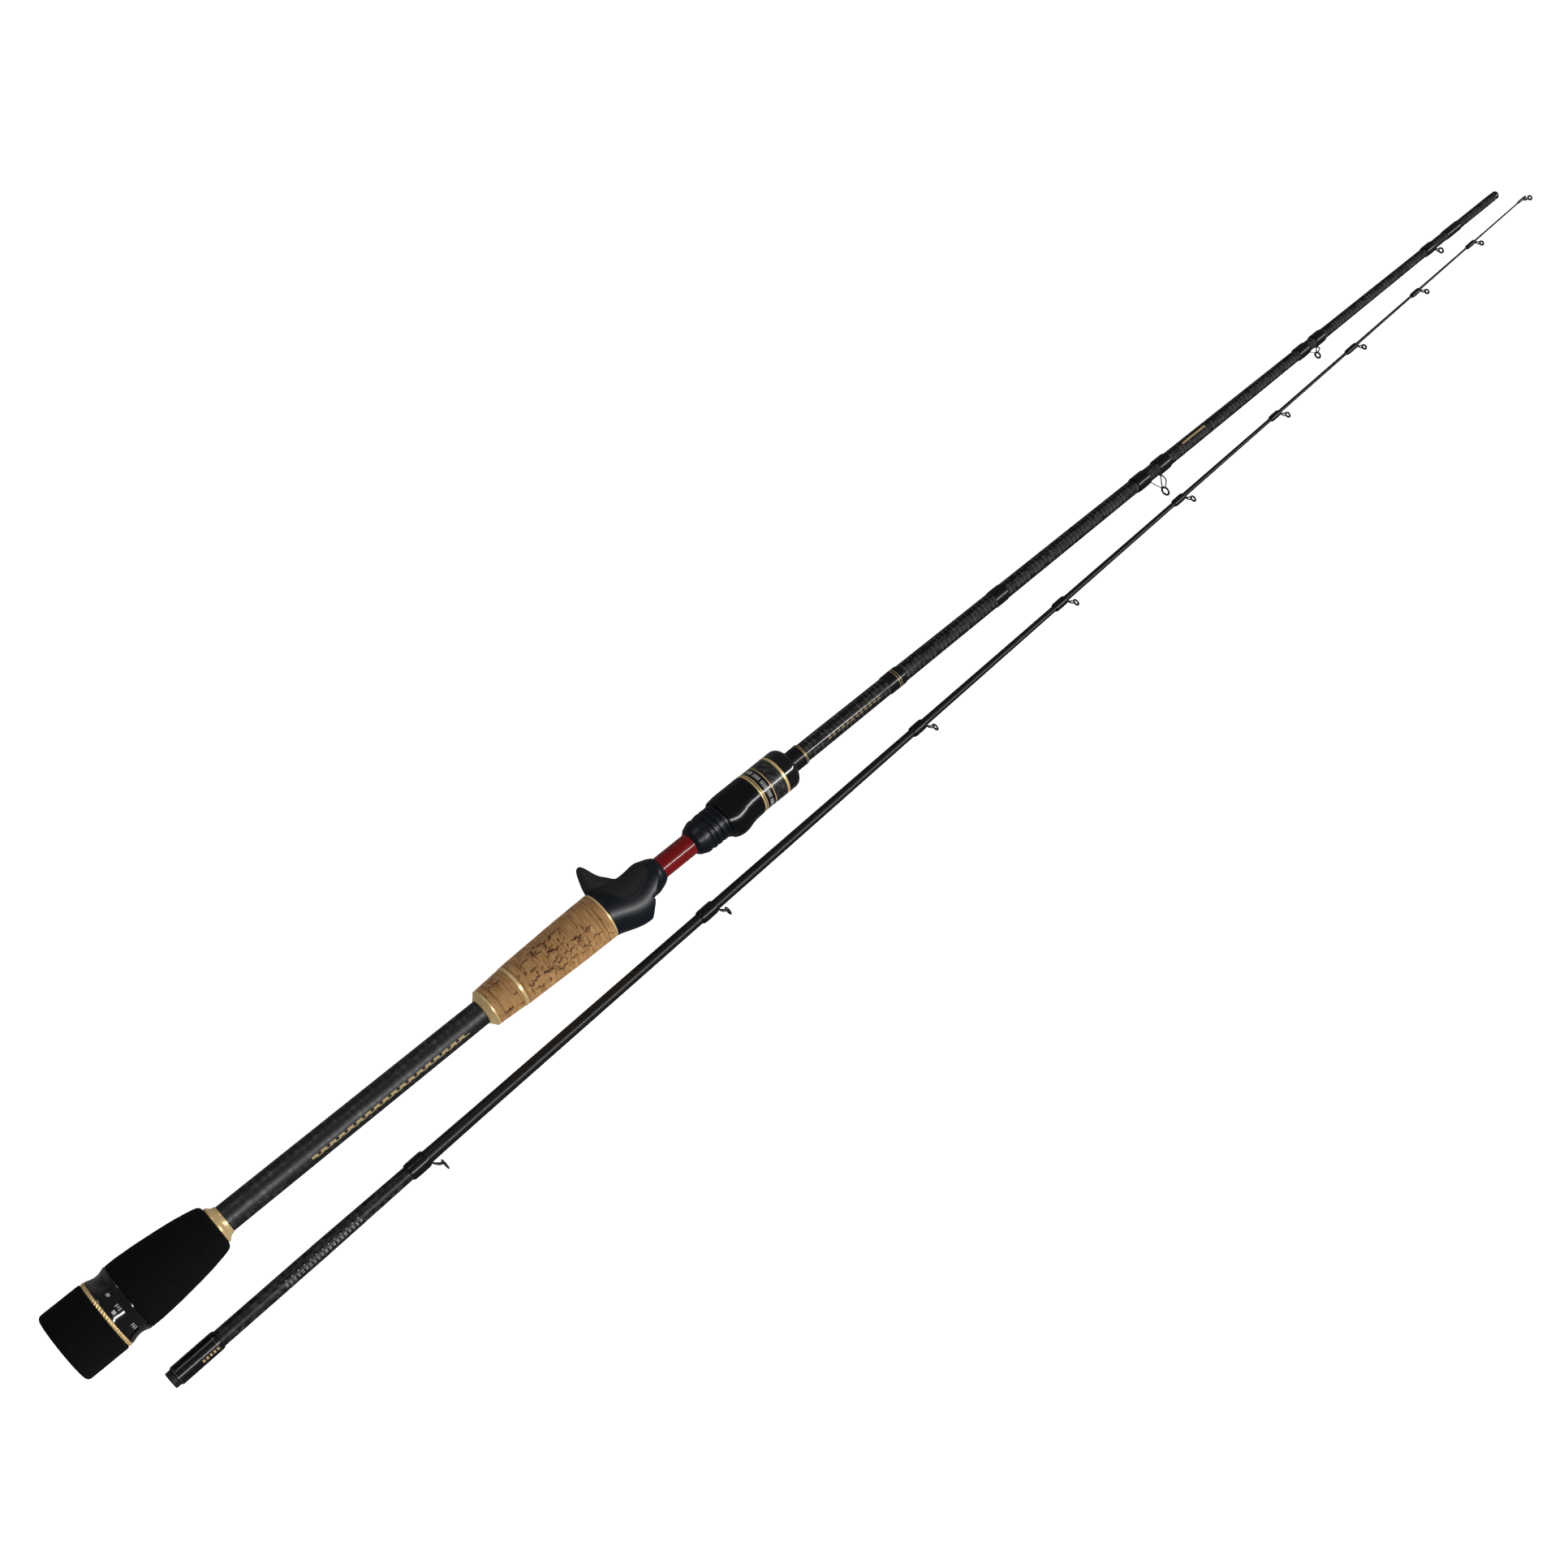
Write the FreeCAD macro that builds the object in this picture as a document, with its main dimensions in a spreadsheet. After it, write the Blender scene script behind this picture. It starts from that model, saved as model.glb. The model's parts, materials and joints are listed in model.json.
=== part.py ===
import FreeCAD, Part
import math
import os

import Sketcher

# A two-piece baitcasting fishing rod, taken apart, its two sections lying side by side on a flat
# surface. Each section is modelled along its own +X axis, from its butt end towards its tip, with
# the line guides on the -Y side and the reel seat's trigger on the +Y side. Stations are distances
# along a section's axis and radii are distances from it, in millimetres. The sections are then laid
# down: the butt section rests on its butt cap and on its ferrule's end, and the tip section beside it.

SIZES = {
    # butt cap, its trim and the rear grip
    "cap_end": 21.0, "cap_radius": 17.5, "cap_recess_depth": 2.4, "cap_recess_radius": 14.6,
    "cap_rear_round": 2.0, "cap_front_round": 1.0,
    "end_ring_width": 1.65, "end_ring_front": 0.9, "end_disc_front": 1.3,
    "trim_start": 21.1, "trim_end": 22.8, "trim_radius": 17.2,
    "collar_start": 22.85, "collar_end": 33.0, "collar_radius": 17.0, "collar_waist": 15.85,
    "collar_lip": 1.4, "collar_lip_drop": 0.15, "collar_waist_length": 3.6,
    "grip_start": 33.05, "grip_end": 78.6, "grip_radius": 16.95, "grip_neck_radius": 12.8,
    "grip_belly_station": 42.0, "grip_taper_station": 64.5, "grip_taper_radius": 14.6,
    "grip_neck_station": 74.5, "grip_nose": 3.2, "grip_nose_drop": 1.0,
    "rear_check_start": 78.65, "rear_check_end": 83.3, "rear_check_radius": 9.4,
    "check_flange": 1.2, "check_step": 0.1, "check_step_drop": 0.4, "check_lip": 0.8,
    "check_lip_wall": 0.45,
    # handle tube and blank
    "tube_start": 3.0, "tube_end": 306.5, "tube_radius": 6.85, "tube_front_radius": 6.5,
    "tube_bore": 5.5, "blank_start": 240.0, "blank_radius": 5.45, "blank_wall": 1.1,
    "butt_length": 1099.0, "plug_length": 5.0,
    "plug_spigot": 12.0, "plug_radius": 1.7, "plug_round": 2.2,
    # cork handle
    "cork_check_start": 230.5, "cork_check_end": 234.4, "cork_check_radius": 10.2,
    "cork_check_flange": 1.3, "cork_check_step": 0.2, "cork_check_drop": 0.7,
    "cork_check_wall": 0.4,
    "short_cork_end": 249.1, "short_cork_rear": 10.25, "short_cork_front": 11.15,
    "divider_end": 251.5, "divider_radius": 11.4,
    "cork_end": 305.4, "cork_rear": 11.5, "cork_front": 12.9, "cork_belly": 12.6,
    "cork_belly_station": 285.0, "cork_ring_end": 306.6,
    # reel seat
    "seat_end": 345.2, "seat_bore": 7.63, "seat_neck_radius": 9.7, "neck_end_radius": 6.8,
    "neck_start": 315.6, "lining_end": 316.6, "seat_overlap": 0.5, "lining_overlap": 0.2,
    "neck_shoulder": 338.0, "neck_taper": 342.7, "neck_taper_radius": 8.2,
    "mouth_station": 326.0, "mouth_crown": 17.6, "mouth_angle": 46.0,
    "pocket_start": 316.5, "pocket_radius": 11.0, "pocket_offset": 4.6, "deck_height": 10.2,
    "overrun": 5.0, "tool_length": 60.0, "tool_width": 40.0, "round_ease": 0.003,
    "seat_arbor_end": 339.9, "seat_arbor_radius": 7.6,
    "sleeve_start": 340.0, "sleeve_end": 372.0, "sleeve_radius": 6.0,
    "barrel_start": 366.5, "barrel_shoulder": 374.4, "barrel_end": 415.5, "barrel_root": 8.9,
    "barrel_crest": 9.75, "barrel_nose": 6.4, "barrel_bore": 7.03, "thread_pitch": 3.5,
    "barrel_nose_length": 2.0, "barrel_nose_rise": 1.6, "barrel_brow": 2.2, "barrel_brow_drop": 0.3,
    "barrel_shoulder_drop": 0.1, "barrel_shoulder_step": 0.3, "rib_root": 0.5,
    "thread_first": 377.0, "thread_turns": 11, "thread_land": 1.1, "thread_flank": 0.6,
    "barrel_arbor_radius": 7.0,
    # sliding hood and lock nut
    "hood_start": 387.3, "hood_end": 409.0, "hood_bore": 10.43, "liner_radius": 10.4,
    "liner_bore": 10.0, "hood_pocket_depth": 12.4, "hood_pocket_end": 399.0,
    "hood_pocket_width": 12.0, "hood_pocket_radius": 10.9, "hood_pocket_height": 6.0,
    "hood_pocket_outside": 1.0, "liner_inset": 0.5,
    "nut_start": 409.3, "nut_end": 436.3, "nut_bore": 9.9, "nut_core_radius": 10.65,
    "nut_radius": 11.45, "nut_cap_start": 427.1, "nut_wall_start": 433.5, "nut_front_bore": 6.3,
    "nut_cap_round": 4.2, "nut_ring_proud": 0.05, "nut_band_inset": 0.05, "nut_spacer_inset": 0.15,
    # thread wraps on the butt section
    "front_wrap_start": 424.0, "front_wrap_end": 447.0, "front_wrap_radius": 6.0,
    "deco_wrap_start": 510.0, "deco_wrap_end": 522.0, "deco_wrap_radius": 5.6,
    "plain_wrap_start": 595.8, "plain_wrap_end": 605.3, "plain_wrap_radius": 5.15,
    "ferrule_wrap_start": 1038.0, "ferrule_wrap_end": 1053.9, "ferrule_wrap_radius": 3.3,
    "trim_band": 0.5, "trim_thickness": 0.06, "front_trim_rear": 2.2, "front_trim_front": 1.3,
    "deco_trim_rear": 6.0, "deco_trim_front": 7.4, "wrap_edge": 0.1, "wrap_ramp": 0.7,
    "blank_bore_rise": 0.3,
    # wraps and guides
    "wrap_gap": 0.36, "tip_lacquer": 0.45, "butt_lacquer": 0.22, "foot_thickness": 0.3,
    "foot_angle": 34.0,
    "foot_reach": 1.1, "foot_cover": 1.0, "wire_radius": 0.36, "insert_width": 1.0,
    "insert_wall": 0.5, "leg_spread": 0.3, "leg_radius": 0.324, "leg_lead": 0.7, "leg_seat": 0.1,
    "strut_lead": 0.5, "strut_sink": 0.24, "front_leg_lead": 0.6, "front_leg_seat": 0.05,
    # tip section
    "tip_length": 1092.0, "socket_depth": 46.0, "socket_radius": 2.9, "tip_bore": 0.3,
    "lip_length": 2.6, "socket_wrap_end": 25.9, "socket_wrap_radius": 4.83,
    "tip_tube_start": 1083.0, "tip_tube_wall": 0.35, "tip_ring_station": 1093.5,
    "tip_ring_rise": 2.6, "tip_hoop_radius": 1.75, "tip_wall": 0.9, "socket_shoulder": 6.0,
    "socket_step": 0.3, "tip_tube_inset": 1.0, "tip_leg_lead": 2.5, "wrap_rest_inset": 1.0,
    # where the two sections lie
    "tip_start_x": 24.6, "tip_start_y": -38.8, "tip_yaw": 1.32, "clearance": 0.03,
}

# Station and radius along the butt section's blank, from the end of its plain stretch to its ferrule.
BUTT_TAPER = [(460.0, 5.45), (560.0, 4.95), (670.0, 4.55), (785.0, 4.05), (910.0, 3.4),
              (1054.0, 2.85)]
# Station and radius along the tip section's blank.
TIP_TAPER = [(0.0, 4.15), (83.0, 4.15), (174.0, 3.3), (357.0, 2.8), (575.0, 1.9), (804.0, 1.18),
             (1092.0, 0.55)]
# Reel seat shell: station, reach on the guide side, reach on the trigger side, half height.
SEAT_SECTIONS = [(306.6, 12.9, 12.7, 12.7), (310.5, 13.9, 12.6, 12.6), (315.5, 15.8, 11.9, 12.3),
                 (320.7, 17.3, 11.0, 11.8), (326.5, 17.6, 10.5, 11.3), (335.5, 14.5, 10.4, 10.9),
                 (342.7, 10.5, 7.6, 8.4), (345.2, 8.0, 6.6, 7.0)]
# Trigger: height above the axis, its rear and front stations, half width.
TRIGGER_SECTIONS = [(8.0, 308.6, 328.0, 7.5), (12.4, 307.6, 322.6, 5.6), (17.5, 308.7, 318.6, 4.7),
                    (22.5, 310.6, 316.8, 4.2), (25.3, 312.0, 315.5, 3.2), (26.4, 313.0, 314.4, 1.6)]
# Sliding hood: station, reach on the guide side, reach on the trigger side, half height.
HOOD_SECTIONS = [(387.3, 11.6, 10.9, 10.9), (390.5, 13.1, 11.4, 11.2), (394.0, 13.7, 11.6, 11.4),
                 (398.5, 13.0, 11.6, 11.5), (403.0, 12.0, 11.6, 11.5), (409.0, 11.6, 11.6, 11.5)]
# Gold rings around the lock nut: rear and front station of each.
NUT_RINGS = [(409.3, 410.3), (410.8, 411.4), (416.7, 417.3), (425.3, 427.0)]
# Two-foot guides: the rear wrap's start and end, the front wrap's start and end, the ring's station,
# its centre's distance from the axis, and the radius of the hoop that holds the ring.
DOUBLE_GUIDES = [(720.4, 730.3, 740.2, 749.6, 733.5, 14.1, 2.95),
                 (877.6, 886.6, 894.4, 903.4, 889.6, 8.4, 2.3)]
# One-foot guides, the last one on the butt section and those of the tip section: the wrap's rear and
# front station, the ring centre's distance from the axis, and the radius of the ring's hoop.
THIRD_GUIDE = [(1015.0, 1023.6, 6.0, 2.05)]
TIP_GUIDES = [(133.2, 143.8, 8.2, 2.75), (321.9, 332.0, 6.6, 2.3), (481.2, 490.1, 6.0, 2.15),
              (600.8, 610.0, 5.6, 2.1), (710.1, 718.8, 5.2, 2.05), (805.5, 813.6, 4.8, 1.95),
              (885.1, 895.1, 4.5, 1.85), (956.9, 965.3, 4.3, 1.8), (1020.7, 1029.4, 4.1, 1.75)]
RIM_RINGS = [(3.2, 3.8), (23.6, 24.2)]

doc = FreeCAD.newDocument("fishing_rod")
X_AXIS = FreeCAD.Vector(1, 0, 0)
Z_AXIS = FreeCAD.Vector(0, 0, 1)
ALONG_X = FreeCAD.Rotation(Z_AXIS, X_AXIS)
LEG_ANGLE = math.radians(60)


class Size:
    """A length: its value now, and the expression that keeps it bound to the sheet."""

    def __init__(self, value, text=None):
        self.value = float(value)
        self.text = text or f"{float(value):.6f}"

    def joined(self, other, sign):
        other = as_size(other)
        value = self.value + other.value if sign == "+" else self.value - other.value
        return Size(value, f"({self.text} {sign} {other.text})")

    def __add__(self, other):
        return self.joined(other, "+")

    def __sub__(self, other):
        return self.joined(other, "-")

    def __neg__(self):
        return Size(-self.value, f"(-1 * {self.text})")

    def __mul__(self, factor):
        return Size(self.value * factor, f"({self.text} * {factor})")


def as_size(number):
    return number if isinstance(number, Size) else Size(number)


def length_of(*steps):
    """The length of a straight run with these steps along X, Y and Z."""
    steps = [as_size(step) for step in steps]
    value = math.sqrt(sum(step.value ** 2 for step in steps))
    return Size(value, "sqrt(" + " + ".join(f"({step.text})^2" for step in steps) + ")")


class Dimensions:
    """The document's spreadsheet, one plain number for each alias."""

    def __init__(self, sizes):
        self.sizes = sizes
        sheet = doc.addObject("Spreadsheet::Sheet", "dims")
        for row, (alias, number) in enumerate(sizes.items(), 1):
            sheet.set(f"A{row}", alias)
            sheet.set(f"B{row}", str(number))
            sheet.setAlias(f"B{row}", alias)
        doc.recompute()

    def __getattr__(self, alias):
        return Size(self.sizes[alias], f"dims.{alias}")


def tabled(prefix, rows):
    """Sheet cells for a table, one alias for each of its numbers."""
    return {f"{prefix}_{row}_{column}": number
            for row, numbers in enumerate(rows, 1) for column, number in enumerate(numbers, 1)}


TABLES = {"butt_taper": BUTT_TAPER, "tip_taper": TIP_TAPER, "seat": SEAT_SECTIONS,
          "trigger": TRIGGER_SECTIONS, "hood": HOOD_SECTIONS, "nut_ring": NUT_RINGS,
          "double_guide": DOUBLE_GUIDES, "third_guide": THIRD_GUIDE, "guide": TIP_GUIDES,
          "rim": RIM_RINGS}
for table_name, table_rows in TABLES.items():
    SIZES.update(tabled(table_name, table_rows))
dims = Dimensions(SIZES)


def rows_of(name):
    """A table's rows, as sizes that are bound to the sheet."""
    return [[getattr(dims, f"{name}_{row}_{column}") for column in range(1, len(numbers) + 1)]
            for row, numbers in enumerate(TABLES[name], 1)]


# ---------------------------------------------------------------- making pieces

def bind(piece, name, size):
    """Sets a property and binds it to the sheet."""
    piece.setExpression(name, as_size(size).text)


def pin_corner(sketch, kind, corner, size):
    """Fixes one coordinate of an outline's corner; zero means that it lies on the sketch's axis."""
    size = as_size(size)
    if size.value == 0.0:
        axis = -2 if kind == "DistanceX" else -1
        sketch.addConstraint(Sketcher.Constraint("PointOnObject", corner, 1, axis))
        return
    index = sketch.addConstraint(Sketcher.Constraint(kind, corner, 1, size.value))
    sketch.setExpression(f"Constraints[{index}]", size.text)


def outline_sketch(body, name, outline):
    """A closed outline of straight sides on the body's XY plane, each corner (station, radius)."""
    sketch = body.newObject("Sketcher::SketchObject", name)
    plane = next(item for item in body.Origin.OriginFeatures if item.Role == "XY_Plane")
    sketch.AttachmentSupport = [(plane, "")]
    sketch.MapMode = "FlatFace"
    corners = [FreeCAD.Vector(as_size(station).value, as_size(radius).value, 0)
               for station, radius in outline]
    count = len(corners)
    for index in range(count):
        sketch.addGeometry(Part.LineSegment(corners[index], corners[(index + 1) % count]), False)
    for index in range(count):
        sketch.addConstraint(Sketcher.Constraint("Coincident", index, 2, (index + 1) % count, 1))
    for index, (station, radius) in enumerate(outline):
        pin_corner(sketch, "DistanceX", index, station)
        pin_corner(sketch, "DistanceY", index, radius)
    return sketch


def spun(body, name, outline):
    """A revolution of an outline about the section's axis."""
    feature = body.newObject("PartDesign::Revolution", name)
    feature.Profile = outline_sketch(body, f"{name}_outline", outline)
    feature.ReferenceAxis = (feature.Profile[0], ["H_Axis"])
    feature.Angle = 360
    return feature


def circle_edges(feature, corners):
    """Names of the circular edges that the outline's given corners draw."""
    names = []
    for index, edge in enumerate(feature.Shape.Edges, 1):
        circle = edge.Curve
        if not isinstance(circle, Part.Circle):
            continue
        for station, radius in corners:
            station_fits = abs(circle.Center.x - as_size(station).value) < 1e-4
            if station_fits and abs(circle.Radius - as_size(radius).value) < 1e-4:
                names.append(f"Edge{index}")
    return sorted(set(names))


def turned(label, outline, rounds=()):
    """A turned piece. Each round is a corner of the outline and the fillet's radius there."""
    body = doc.addObject("PartDesign::Body", label)
    feature = spun(body, f"{label}_turn", outline)
    for number, (corner, radius) in enumerate(rounds, 1):
        doc.recompute()
        fillet = body.newObject("PartDesign::Fillet", f"{label}_round_{number}")
        fillet.Base = (feature, circle_edges(feature, [outline[corner]]))
        bind(fillet, "Radius", radius)
        feature = fillet
    return body


def tube_outline(start, end, outer, inner, front_outer=None):
    """Outline of a plain tube, or of a tapered one when its front radius differs."""
    front_outer = outer if front_outer is None else front_outer
    return [(start, inner), (start, outer), (end, front_outer), (end, inner)]


def ring(label, start, end, outer, inner):
    return turned(label, tube_outline(start, end, outer, inner))


def grouped(label, pieces):
    """Separate solids that share one node."""
    group = doc.addObject("Part::Compound", label)
    group.Links = pieces
    return group


def rod(label, start, step, radius):
    """A straight round wire from a point, along a step of (X, Y, Z) sizes."""
    start = [as_size(number) for number in start]
    step = [as_size(number) for number in step]
    wire = doc.addObject("Part::Cylinder", label)
    bind(wire, "Radius", radius)
    bind(wire, "Height", length_of(*step))
    direction = FreeCAD.Vector(*[number.value for number in step])
    wire.Placement = FreeCAD.Placement(FreeCAD.Vector(), FreeCAD.Rotation(Z_AXIS, direction))
    for axis, number in zip("xyz", start):
        bind(wire, f"Placement.Base.{axis}", number)
    return wire


def disc(label, start, end, radius, side=0.0):
    """A round bar along X, its axis moved sideways along Y."""
    return rod(label, (start, side, 0.0), (as_size(end) - start, 0.0, 0.0), radius)


def cut(label, base, tool):
    piece = doc.addObject("Part::Cut", label)
    piece.Base = base
    piece.Tool = tool
    return piece


def fused(label, pieces):
    piece = doc.addObject("Part::MultiFuse", label)
    piece.Shapes = pieces
    return piece


def oval(label, half_long, half_short, centre, rotation):
    """An ellipse that a loft passes through."""
    shape = doc.addObject("Part::Ellipse", label)
    bind(shape, "MajorRadius", half_long)
    bind(shape, "MinorRadius", half_short)
    shape.Placement.Rotation = rotation
    for axis, number in zip("xyz", centre):
        bind(shape, f"Placement.Base.{axis}", number)
    return shape


def lofted(label, ovals):
    loft = doc.addObject("Part::Loft", label)
    loft.Sections = ovals
    loft.Solid = True
    loft.Ruled = False
    return loft


def shell_loft(label, table):
    """A loft along the axis. Each row is a station, two sideways reaches and a half height."""
    across = FreeCAD.Rotation(FreeCAD.Vector(0, 1, 0), Z_AXIS, X_AXIS, "ZXY")
    ovals = []
    for number, (station, guide_side, trigger_side, half_height) in enumerate(rows_of(table), 1):
        half_width = (guide_side + trigger_side) * 0.5 + dims.round_ease
        side = (trigger_side - guide_side) * 0.5
        ovals.append(oval(f"{label}_{number}", half_width, half_height, (station, side, 0.0), across))
    return lofted(label, ovals)


# ---------------------------------------------------------------- butt end and rear grip

def butt_end():
    bore = dims.tube_radius + dims.clearance
    cap_outline = [(dims.cap_recess_depth, bore), (dims.cap_recess_depth, dims.cap_recess_radius),
                   (0.0, dims.cap_recess_radius), (0.0, dims.cap_radius),
                   (dims.cap_end, dims.cap_radius), (dims.cap_end, bore)]
    ring_radius = dims.cap_recess_radius - dims.clearance
    ring_inner = ring_radius - dims.end_ring_width
    floor = dims.cap_recess_depth - dims.clearance
    middle = (dims.collar_start + dims.collar_end) * 0.5
    half_waist = dims.collar_waist_length * 0.5
    lip_radius = dims.collar_radius - dims.collar_lip_drop
    collar_outline = [(dims.collar_start, bore), (dims.collar_start, dims.collar_radius),
                      (dims.collar_start + dims.collar_lip, lip_radius),
                      (middle - half_waist, dims.collar_waist),
                      (middle + half_waist, dims.collar_waist),
                      (dims.collar_end - dims.collar_lip, lip_radius),
                      (dims.collar_end, dims.collar_radius), (dims.collar_end, bore)]
    grip_outline = [(dims.grip_start, bore), (dims.grip_start, dims.grip_radius),
                    (dims.grip_belly_station, dims.grip_radius),
                    (dims.grip_taper_station, dims.grip_taper_radius),
                    (dims.grip_neck_station, dims.grip_neck_radius),
                    (dims.grip_end, dims.grip_neck_radius - dims.grip_nose_drop),
                    (dims.grip_end, bore)]
    flange_end = dims.rear_check_start + dims.check_flange
    lip_wall = bore + dims.check_lip_wall
    check_outline = [(dims.rear_check_start, bore), (dims.rear_check_start, dims.rear_check_radius),
                     (flange_end, dims.rear_check_radius),
                     (flange_end + dims.check_step, dims.rear_check_radius - dims.check_step_drop),
                     (dims.rear_check_end - dims.check_lip, lip_wall),
                     (dims.rear_check_end, lip_wall), (dims.rear_check_end, bore)]
    return [
        turned("butt_cap", cap_outline, [(3, dims.cap_rear_round), (4, dims.cap_front_round)]),
        ring("butt_end_ring", dims.end_ring_front, floor, ring_radius, ring_inner),
        turned("butt_end_disc", tube_outline(dims.end_disc_front, floor,
                                             ring_inner - dims.clearance, 0.0)),
        ring("butt_trim_ring", dims.trim_start, dims.trim_end, dims.trim_radius, bore),
        turned("butt_collar", collar_outline),
        turned("rear_grip", grip_outline, [(5, dims.grip_nose)]),
        turned("rear_winding_check", check_outline),
    ]


def handle_tube():
    rear_end = dims.cork_check_start
    outline = [(dims.tube_start, dims.tube_bore), (dims.tube_start, dims.tube_radius),
               (dims.rear_check_end, dims.tube_radius), (rear_end, dims.tube_front_radius),
               (dims.tube_end, dims.tube_front_radius), (dims.tube_end, dims.tube_bore)]
    return [turned("rear_handle_tube", outline)]


def cork_handle():
    bore = dims.tube_front_radius + dims.clearance
    flange_start = dims.cork_check_end - dims.cork_check_flange
    check_front = dims.cork_check_end - dims.clearance
    check_outline = [(dims.cork_check_start, bore),
                     (dims.cork_check_start, bore + dims.cork_check_wall),
                     (flange_start - dims.cork_check_step,
                      dims.cork_check_radius - dims.cork_check_drop),
                     (flange_start, dims.cork_check_radius), (check_front, dims.cork_check_radius),
                     (check_front, bore)]
    cork_start = dims.divider_end + dims.clearance
    cork_outline = [(cork_start, bore), (cork_start, dims.cork_rear),
                    (dims.cork_belly_station, dims.cork_belly), (dims.cork_end, dims.cork_front),
                    (dims.cork_end, bore)]
    return [
        turned("cork_rear_check", check_outline),
        turned("cork_ring_short", tube_outline(dims.cork_check_end, dims.short_cork_end,
                                               dims.short_cork_rear, bore, dims.short_cork_front)),
        ring("cork_divider_ring", dims.short_cork_end + dims.clearance, dims.divider_end,
             dims.divider_radius, bore),
        turned("cork_grip", cork_outline),
        ring("cork_front_ring", dims.cork_end + dims.clearance,
             dims.cork_ring_end - dims.clearance, dims.cork_front, bore),
    ]


# ---------------------------------------------------------------- reel seat

def trigger_loft():
    lying = FreeCAD.Rotation(X_AXIS, Z_AXIS, FreeCAD.Vector(0, -1, 0), "ZXY")
    upright = FreeCAD.Rotation(Z_AXIS, X_AXIS, FreeCAD.Vector(0, 1, 0), "ZXY")
    ovals = []
    for number, (height, rear, front, half_width) in enumerate(rows_of("trigger"), 1):
        half_length = (front - rear) * 0.5
        centre = ((front + rear) * 0.5, height, 0.0)
        name = f"trigger_{number}_oval"
        if half_length.value > half_width.value:
            ovals.append(oval(name, half_length, half_width, centre, lying))
        else:
            ovals.append(oval(name, half_width, half_length, centre, upright))
    return lofted("trigger", ovals)


def block(label, corner, lengths):
    """A box from its lowest corner."""
    box = doc.addObject("Part::Box", label)
    for name, size in zip(("Length", "Width", "Height"), lengths):
        bind(box, name, size)
    for axis, number in zip("xyz", corner):
        bind(box, f"Placement.Base.{axis}", number)
    return box


def reel_seat_body():
    """Trigger seat: an oval shell with a fixed hood on the guide side, cut obliquely at its mouth."""
    shell = shell_loft("seat_shell", "seat")
    half_tool = dims.tool_width * 0.5
    tool_size = (dims.tool_length, dims.tool_length, dims.tool_width)
    mouth = block("seat_mouth", (dims.mouth_station, -dims.mouth_crown, -half_tool), tool_size)
    mouth.Placement.Rotation = FreeCAD.Rotation(Z_AXIS, -SIZES["mouth_angle"])
    bind(mouth, "Placement.Rotation.Angle", dims.mouth_angle)
    mouth.Placement.Rotation.Axis = -Z_AXIS
    open_shell = cut("seat_open_shell", shell, mouth)
    neck = turned("seat_neck", [(dims.neck_start, dims.seat_bore),
                                (dims.neck_start, dims.seat_neck_radius),
                                (dims.neck_shoulder, dims.seat_neck_radius),
                                (dims.neck_taper, dims.neck_taper_radius),
                                (dims.seat_end, dims.neck_end_radius),
                                (dims.seat_end, dims.sleeve_radius + dims.clearance),
                                (dims.sleeve_start, dims.sleeve_radius + dims.clearance),
                                (dims.sleeve_start, dims.seat_bore)])
    joined = fused("seat_joined", [open_shell, trigger_loft()])
    bored = cut("seat_bored", joined, disc("seat_bore_tool", dims.cork_ring_end - dims.overrun,
                                           dims.seat_end + dims.overrun,
                                           dims.seat_neck_radius - dims.seat_overlap))
    lining = ring("seat_lining", dims.cork_ring_end, dims.lining_end,
                  dims.seat_neck_radius - dims.lining_overlap, dims.seat_bore)
    walled = fused("seat_walled", [bored, neck, lining])
    pocket_bar = disc("pocket_bar", dims.pocket_start, dims.seat_end + dims.overrun,
                      dims.pocket_radius, -dims.pocket_offset)
    deck = block("pocket_deck", (dims.pocket_start - dims.overrun, -dims.deck_height, -half_tool),
                 tool_size)
    return cut("reel_seat_body", walled, cut("pocket", pocket_bar, deck))


def threaded_barrel():
    """Barrel of the reel seat, with its coarse thread as plain ribs one pitch apart."""
    body = doc.addObject("PartDesign::Body", "threaded_barrel")
    sleeve_bore = dims.sleeve_radius + dims.clearance
    arbor_start = dims.sleeve_end + dims.clearance
    spun(body, "barrel_wall", [(dims.barrel_start, sleeve_bore), (dims.barrel_start, dims.barrel_nose),
                               (dims.barrel_start + dims.barrel_nose_length,
                                dims.barrel_nose + dims.barrel_nose_rise),
                               (dims.barrel_shoulder - dims.barrel_brow,
                                dims.barrel_crest - dims.barrel_brow_drop),
                               (dims.barrel_shoulder,
                                dims.barrel_crest - dims.barrel_shoulder_drop),
                               (dims.barrel_shoulder + dims.barrel_shoulder_step,
                                dims.barrel_root),
                               (dims.barrel_end, dims.barrel_root), (dims.barrel_end, dims.barrel_bore),
                               (arbor_start, dims.barrel_bore), (arbor_start, sleeve_bore)])
    base = dims.thread_land + dims.thread_flank
    sunk = dims.barrel_root - dims.rib_root
    rib = spun(body, "barrel_rib", [(dims.thread_first - base, sunk),
                                    (dims.thread_first - base, dims.barrel_root),
                                    (dims.thread_first - dims.thread_land, dims.barrel_crest),
                                    (dims.thread_first, dims.barrel_crest),
                                    (dims.thread_first + dims.thread_flank, dims.barrel_root),
                                    (dims.thread_first + dims.thread_flank, sunk)])
    pattern = body.newObject("PartDesign::LinearPattern", "barrel_thread")
    pattern.Originals = [rib]
    pattern.Direction = (rib.Profile[0], ["H_Axis"])
    pattern.Mode = "Spacing"
    bind(pattern, "Offset", dims.thread_pitch)
    bind(pattern, "Occurrences", dims.thread_turns)
    body.Tip = pattern
    return body


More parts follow.
